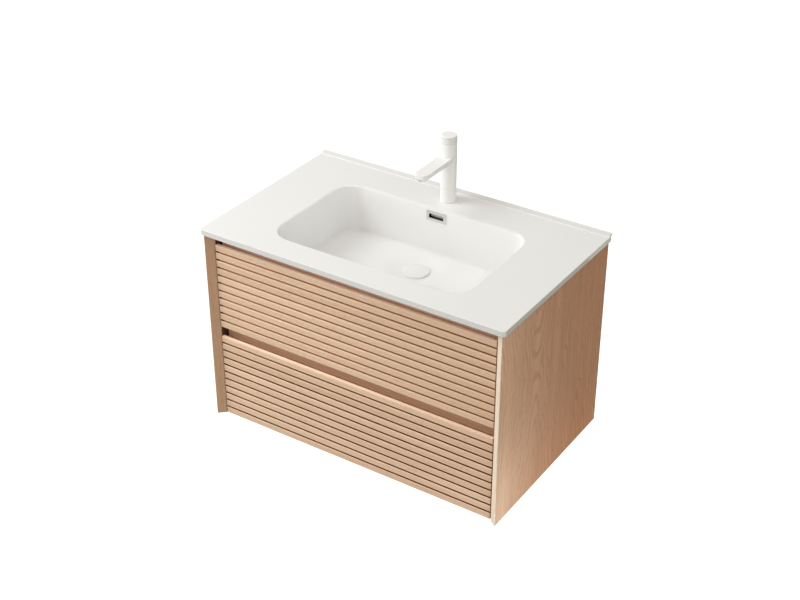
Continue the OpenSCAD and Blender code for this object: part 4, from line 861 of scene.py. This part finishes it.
# ---------------------------------------------------------------------------------------------
# Front rails: two oak rails across the cabinet behind the finger gaps, with black plastic ends.
# A near-black sheet of painted shade lines the side panels' inner faces in front of them.
# ---------------------------------------------------------------------------------------------
RAIL_Y = (-448 * MM, -432 * MM)
RAIL_HALF = 369 * MM
RAIL_H = 45 * MM
MID_RAIL_Z = -227 * MM
TOP_RAIL_Z = 14 * MM
RAIL_SPANS = [(low, low + RAIL_H) for low in (MID_RAIL_Z, TOP_RAIL_Z)]
# The sheets of painted shade in the gaps beside the fronts.
SHADE_SHEET_T = 0.5 * MM
SHADE_SHEET_Y = (SLAT_FACE + 3.8 * MM, RAIL_Y[0])
SHADE_SHEET_Z = (CAB_LOW + 1 * MM, CAB_TOP - 1 * MM)


def moulded(name, base, rough, grain=1400, depth=0.00003, spread=0.06):
    """Moulded plastic: an even colour with a fine pressed grain."""
    material, tree, shader = new_material(name)
    place = object_place(tree)
    tone = remap(tree, noise(tree, place, 45, 3), 0.3, 0.7, 0, 1)
    colour = mix_colour(tree, tone, tuple((1 - spread) * c for c in base), base)
    tree.links.new(colour, shader.inputs["Base Color"])
    tree.links.new(remap(tree, noise(tree, place, 500, 2), 0.3, 0.7, rough - 0.05, rough + 0.05),
                   shader.inputs["Roughness"])
    add_bump(tree, shader, noise(tree, place, grain, 2), depth)
    return material


def boards(name, spans, ease, materials, body, slot_name, *nodes):
    """One piece of eased boards, each given by its spans along X, Y and Z."""
    piece = add_mesh(name, *join([eased_box(*span, ease) for span in spans]), sharp=60)
    fit(piece, materials, body, slot_name, *nodes)


# Painted light: the Z tints lift the whole top rail and the mid rail's lowest part out of their shade.
RAIL_OAK = oak("rail_oak", 0, ((0.515, 0.295, 0.190), (0.59, 0.37, 0.25)), 0.5, 0.3, shift=2.7,
               edges=(("Z", -50 * MM, 0, (1.62, 1.98, 2.45)),
                      ("Z", -219 * MM, -226 * MM, (1.64, 1.86, 1.98))))
BLACK_PLASTIC = moulded("black_plastic", (0.02, 0.02, 0.02), 0.5)
# Near-black for the painted shade in those gaps.
GAP_SHADE = oak("gap_shade_sheet", 2, ((0.085, 0.045, 0.032), (0.12, 0.065, 0.046)), 0.5, 0.3)
boards("front_rail_bars", [((-RAIL_HALF, RAIL_HALF), RAIL_Y, z) for z in RAIL_SPANS], 0.5 * MM,
       [RAIL_OAK], "cabinet", "rail_oak", "front_rails")
boards("rail_caps",
       [(x, RAIL_Y, z) for x in ((-PANEL_IN, -RAIL_HALF), (RAIL_HALF, PANEL_IN)) for z in RAIL_SPANS],
       0.5 * MM, [BLACK_PLASTIC], "cabinet", "black_plastic", "rail_end_caps")
boards("panel_gap_shade_sheet",
       [(x, SHADE_SHEET_Y, SHADE_SHEET_Z) for x in ((-PANEL_IN, SHADE_SHEET_T - PANEL_IN), (PANEL_IN - SHADE_SHEET_T, PANEL_IN))],
       0.1 * MM, [GAP_SHADE], "cabinet", "panel_oak")


# ---------------------------------------------------------------------------------------------
# Bottom panel, back rails and what joins them: oak-faced boards across the cabinet, held by
# beech dowels and zinc cam fittings.
# ---------------------------------------------------------------------------------------------
def dress(material, *names):
    """Gives CAD nodes a material."""
    for name in names:
        mesh = NODES[name].data
        if not mesh.materials:
            mesh.materials.append(material)
        for index in range(len(mesh.materials)):
            mesh.materials[index] = material


def soften(width, *names):
    """Merges CAD nodes' loose triangles and rounds their edges."""
    for name in names:
        node = NODES[name]
        weld = node.modifiers.new("merged", "WELD")
        weld.merge_threshold = 0.01 * MM
        bevel = node.modifiers.new("eased", "BEVEL")
        bevel.width = width
        bevel.segments = 2
        bevel.limit_method = "ANGLE"
        bevel.angle_limit = math.radians(40)
        bevel.use_clamp_overlap = True


def zinc():
    """Zinc-plated sheet steel with fine drawn lines and soft cloudy spangles."""
    material, tree, shader = new_material("zinc_steel")
    drawn = noise(tree, object_place(tree, (600, 12, 600)), 1, 3, 0.6)
    cloud = noise(tree, object_place(tree), 60, 4, 0.6)
    colour = mix_colour(tree, cloud, (0.50, 0.51, 0.53), (0.66, 0.67, 0.69))
    tree.links.new(colour, shader.inputs["Base Color"])
    rough = remap(tree, calc(tree, "MULTIPLY", drawn, cloud), 0.1, 0.4, 0.28, 0.46)
    tree.links.new(rough, shader.inputs["Roughness"])
    shader.inputs["Metallic"].default_value = 1.0
    add_bump(tree, shader, drawn, 0.00002)
    return material


ZINC = zinc()
BASE_OAK = oak("base_oak", 0, ((0.36, 0.235, 0.148), (0.50, 0.35, 0.235)), 0.5, 0.45, shift=1.3)
BEECH = oak("beech", 0, ((0.56, 0.40, 0.25), (0.68, 0.52, 0.35)), 0.35, 0.2, 0.6)
dress(BASE_OAK, "bottom_panel", "back_rails")
soften(0.5 * MM, "bottom_panel", "back_rails")
dress(BEECH, "panel_dowels")
dress(ZINC, "cam_fittings")


# ---------------------------------------------------------------------------------------------
# Drawer boxes: boards in a pale woven-look foil, screwed to the fronts. The upper one goes
# round the trap, where a grey plastic moulding lines its cut-out.
# ---------------------------------------------------------------------------------------------
BOX_HALF = 361 * MM
BOX_WALL = 12 * MM
BOX_BACK = -50 * MM
BOX_IN = BOX_HALF - BOX_WALL
FLOOR_LOW = 6 * MM
FLOOR_TOP = 14 * MM
CUT_IN = 100 * MM
CUT_OUT = CUT_IN + BOX_WALL
CUT_FRONT = -253 * MM
UPPER_SPAN = (-177 * MM, -85 * MM)
LOWER_SPAN = (-419 * MM, -232 * MM)


def foil():
    """Pale foil on board with a woven print: fine crossed threads in two close tones."""
    material, tree, shader = new_material("linen_foil")
    along = noise(tree, object_place(tree, (40, 1300, 1300)), 1, 2)
    across = noise(tree, object_place(tree, (1300, 40, 40)), 1, 2)
    weave = calc(tree, "ADD", along, across)
    share = remap(tree, weave, 0.8, 1.2, 0, 1)
    colour = mix_colour(tree, share, (0.50, 0.475, 0.44), (0.62, 0.595, 0.555))
    tree.links.new(colour, shader.inputs["Base Color"])
    tree.links.new(remap(tree, noise(tree, object_place(tree), 90, 2), 0.3, 0.7, 0.42, 0.52),
                   shader.inputs["Roughness"])
    add_bump(tree, shader, weave, 0.00003)
    return material


FOIL = foil()
GREY_PLASTIC = moulded("grey_plastic", (0.27, 0.265, 0.255), 0.5)
front_wall = (BOARD_BACK, BOARD_BACK + BOX_WALL)
rear_wall = (BOX_BACK - BOX_WALL, BOX_BACK)
inside = (-BOX_IN, BOX_IN)
for prefix, span, rear_spans, floor_plan in (
        ("upper", UPPER_SPAN, [(-BOX_IN, -CUT_OUT), (CUT_OUT, BOX_IN)],
         [(inside, (front_wall[1], CUT_FRONT)), ((-BOX_IN, -CUT_IN), (CUT_FRONT, rear_wall[0])),
          ((CUT_IN, BOX_IN), (CUT_FRONT, rear_wall[0]))]),
        ("lower", LOWER_SPAN, [inside], [(inside, (front_wall[1], rear_wall[0]))])):
    body = prefix + "_drawer"
    boards(body + "_sides",
           [(x, (BOARD_BACK, BOX_BACK), span) for x in ((-BOX_HALF, -BOX_IN), (BOX_IN, BOX_HALF))],
           0.5 * MM, [FOIL], body, "box_board", prefix + "_box_sides")
    boards(body + "_ends", [(inside, front_wall, span)] + [(x, rear_wall, span) for x in rear_spans],
           0.5 * MM, [FOIL], body, "box_board", prefix + "_box_ends")
    floor_z = (span[0] + FLOOR_LOW, span[0] + FLOOR_TOP)
    boards(body + "_floor", [(x, y, floor_z) for x, y in floor_plan],
           0.2 * MM, [FOIL], body, "box_board", prefix + "_box_floor")
lining_y = (CUT_FRONT - BOX_WALL, BOX_BACK)
lining_z = (UPPER_SPAN[0] + FLOOR_TOP, UPPER_SPAN[1])
boards("upper_trap_lining",
       [((-CUT_OUT, -CUT_IN), lining_y, lining_z), ((CUT_IN, CUT_OUT), lining_y, lining_z),
        ((-CUT_IN, CUT_IN), (CUT_FRONT - BOX_WALL, CUT_FRONT), lining_z)],
       1.0 * MM, [GREY_PLASTIC], "upper_drawer", "grey_plastic", "upper_trap_surround")


# ---------------------------------------------------------------------------------------------
# Runners and screws: folded zinc-plated steel channels that slide on ball strips, screwed to
# the side panels and the drawer boxes.
# ---------------------------------------------------------------------------------------------
RUNNERS = [f"{level}_runner_{part}"
           for level in ("upper", "lower") for part in ("outers", "middles", "inners")]
dress(ZINC, *RUNNERS, "runner_screws", "upper_drawer_screws", "lower_drawer_screws")
soften(0.3 * MM, *RUNNERS)
dress(BLACK_PLASTIC, "upper_ball_cages", "lower_ball_cages")


# ---------------------------------------------------------------------------------------------
# Trap and waste pipe: white moulded plastic under the bowl, a bottle with a screwed cup, union
# nuts and a pipe that runs back through a rosette into the wall.
# ---------------------------------------------------------------------------------------------
TRAP = ["waste_backnut", "trap_tailpiece", "trap_bottle", "trap_cup", "trap_nuts", "trap_outlet_pipe",
        "wall_rosette"]
WHITE_PLASTIC = moulded("white_plastic", (0.80, 0.80, 0.79), 0.3, 900)
RUBBER = moulded("black_rubber", (0.018, 0.018, 0.018), 0.7, 1800, 0.00005)
dress(WHITE_PLASTIC, *TRAP, "tap_cartridge")
soften(0.6 * MM, *TRAP)
dress(RUBBER, "waste_seal", "tap_gasket", "front_buffers")


# ---------------------------------------------------------------------------------------------
# Hangers and tap fixing: black hanger bodies with zinc hooks over the wall plates' lips, and
# the stud, washer and nut that clamp the tap from below.
# ---------------------------------------------------------------------------------------------
dress(ZINC, "hanger_hooks", "hanger_screws", "wall_plates", "tap_stud", "tap_clamp_washer", "tap_nut",
      "tap_core", "tap_inlets")
soften(0.3 * MM, "hanger_hooks", "wall_plates", "tap_clamp_washer", "tap_nut")
dress(BLACK_PLASTIC, "hanger_bodies")
soften(0.8 * MM, "hanger_bodies")


# ---------------------------------------------------------------------------------------------
# Stage: a white floor that hides nothing from below, a white world, soft area lights from above
# and the front left, faint bounces at the low right, and the camera at the photograph's place.
# ---------------------------------------------------------------------------------------------
FLOOR_HALF = 30
FLOOR_Z = -1.0
ROOM_FRONT = 0.91
ROOM_BACK = 0.41
ROOM_SIDE = 0.14
AMBIENT = (1.04, 0.99, 0.91)
KEY = (0.98, 1.0, 1.04)
COOL_BOUNCE = (0.92, 1.10, 1.28)
WARM_BOUNCE = (1.0, 0.56, 0.30)
KEY_PLACE = (-1.94, -1.47, 1.94)
MIDDLE = (0, -0.25, 0)
CAMERA_PLACE = (1.5904, -2.6931, 1.6675)
CAMERA_TURN = (58.70, 0, 33.23)
CAMERA_LENS = 66.04
CAMERA_FILM = 36

square = np.array([(-1, -1, 0), (1, -1, 0), (1, 1, 0), (-1, 1, 0)])
floor = add_mesh("floor", FLOOR_HALF * square + (0, 0, FLOOR_Z), [[0, 1, 2, 3]], weighted=False)
material, tree, shader = new_material("floor_white")
shader.inputs["Base Color"].default_value = (0.36, 0.35, 0.33, 1)
shader.inputs["Roughness"].default_value = 1.0
shader.inputs["Specular IOR Level"].default_value = 0.0
shader.inputs["Emission Color"].default_value = (1, 1, 1, 1)
tree.links.new(add_node(tree, "LightPath").outputs["Is Camera Ray"], shader.inputs["Emission Strength"])
from_below = add_node(tree, "NewGeometry").outputs["Backfacing"]
tree.links.new(calc(tree, "SUBTRACT", 1.0, from_below), shader.inputs["Alpha"])
floor.data.materials.append(material)

scene = bpy.context.scene
scene.view_settings.view_transform = "Standard"
world = bpy.data.worlds.new("white_room")
scene.world = world
world.use_nodes = True
tree = world.node_tree
tree.nodes.clear()
toward = add_node(tree, "SeparateXYZ", {0: add_node(tree, "TexCoord").outputs["Generated"]})
room = remap(tree, toward.outputs["Y"], -1, 1, ROOM_FRONT, ROOM_BACK)
room = calc(tree, "MULTIPLY_ADD", toward.outputs["X"], ROOM_SIDE, room)
seen = add_node(tree, "LightPath").outputs["Is Camera Ray"]
tint = mix_colour(tree, seen, AMBIENT, (1, 1, 1))
level = add_node(tree, "Mix", {0: seen, 2: room, 3: 1.0}).outputs[0]
background = add_node(tree, "Background", {"Color": tint, "Strength": level})
tree.links.new(background.outputs[0], add_node(tree, "OutputWorld").inputs[0])


def soft_light(name, place, aim, size, power, colour, mirrored=False, spread=180):
    """A rectangular area light at `place` that faces `aim`, unseen, and `mirrored` in gloss or not.
    Its beam opens to `spread` degrees."""
    lamp = bpy.data.lights.new(name, "AREA")
    lamp.shape = "RECTANGLE"
    lamp.size, lamp.size_y = size
    lamp.energy = power
    lamp.color = colour
    lamp.spread = math.radians(spread)
    obj = bpy.data.objects.new(name, lamp)
    scene.collection.objects.link(obj)
    obj.visible_camera = False
    obj.visible_glossy = mirrored
    obj.location = place
    direction = np.array(aim, float) - np.array(place, float)
    yaw = math.atan2(direction[1], direction[0]) - math.pi / 2
    pitch = math.acos(-direction[2] / np.linalg.norm(direction))
    obj.rotation_euler = (pitch, 0, yaw)


soft_light("key_left", KEY_PLACE, MIDDLE, (1.6, 1.6), 27, KEY)
soft_light("key_glint", KEY_PLACE, MIDDLE, (1.2, 1.2), 9, KEY, True)
soft_light("low_left", (-2.60, -1.40, 0.30), MIDDLE, (1.2, 1.2), 21.5, KEY)
soft_light("corner_bounce", (0.74, -0.62, -0.50), (PANEL_OUT, -0.44, -0.40), (0.16, 0.16), 0.13,
           COOL_BOUNCE, spread=70)
soft_light("floor_bounce", (0.56, -0.16, -0.62), (PANEL_OUT, -0.16, -0.46), (0.40, 0.04), 0.040,
           WARM_BOUNCE, spread=50)

camera = bpy.data.objects.new("camera", bpy.data.cameras.new("camera"))
scene.collection.objects.link(camera)
camera.data.lens = CAMERA_LENS
camera.data.sensor_width = CAMERA_FILM
camera.location = CAMERA_PLACE
camera.rotation_euler = [math.radians(angle) for angle in CAMERA_TURN]
scene.camera = camera
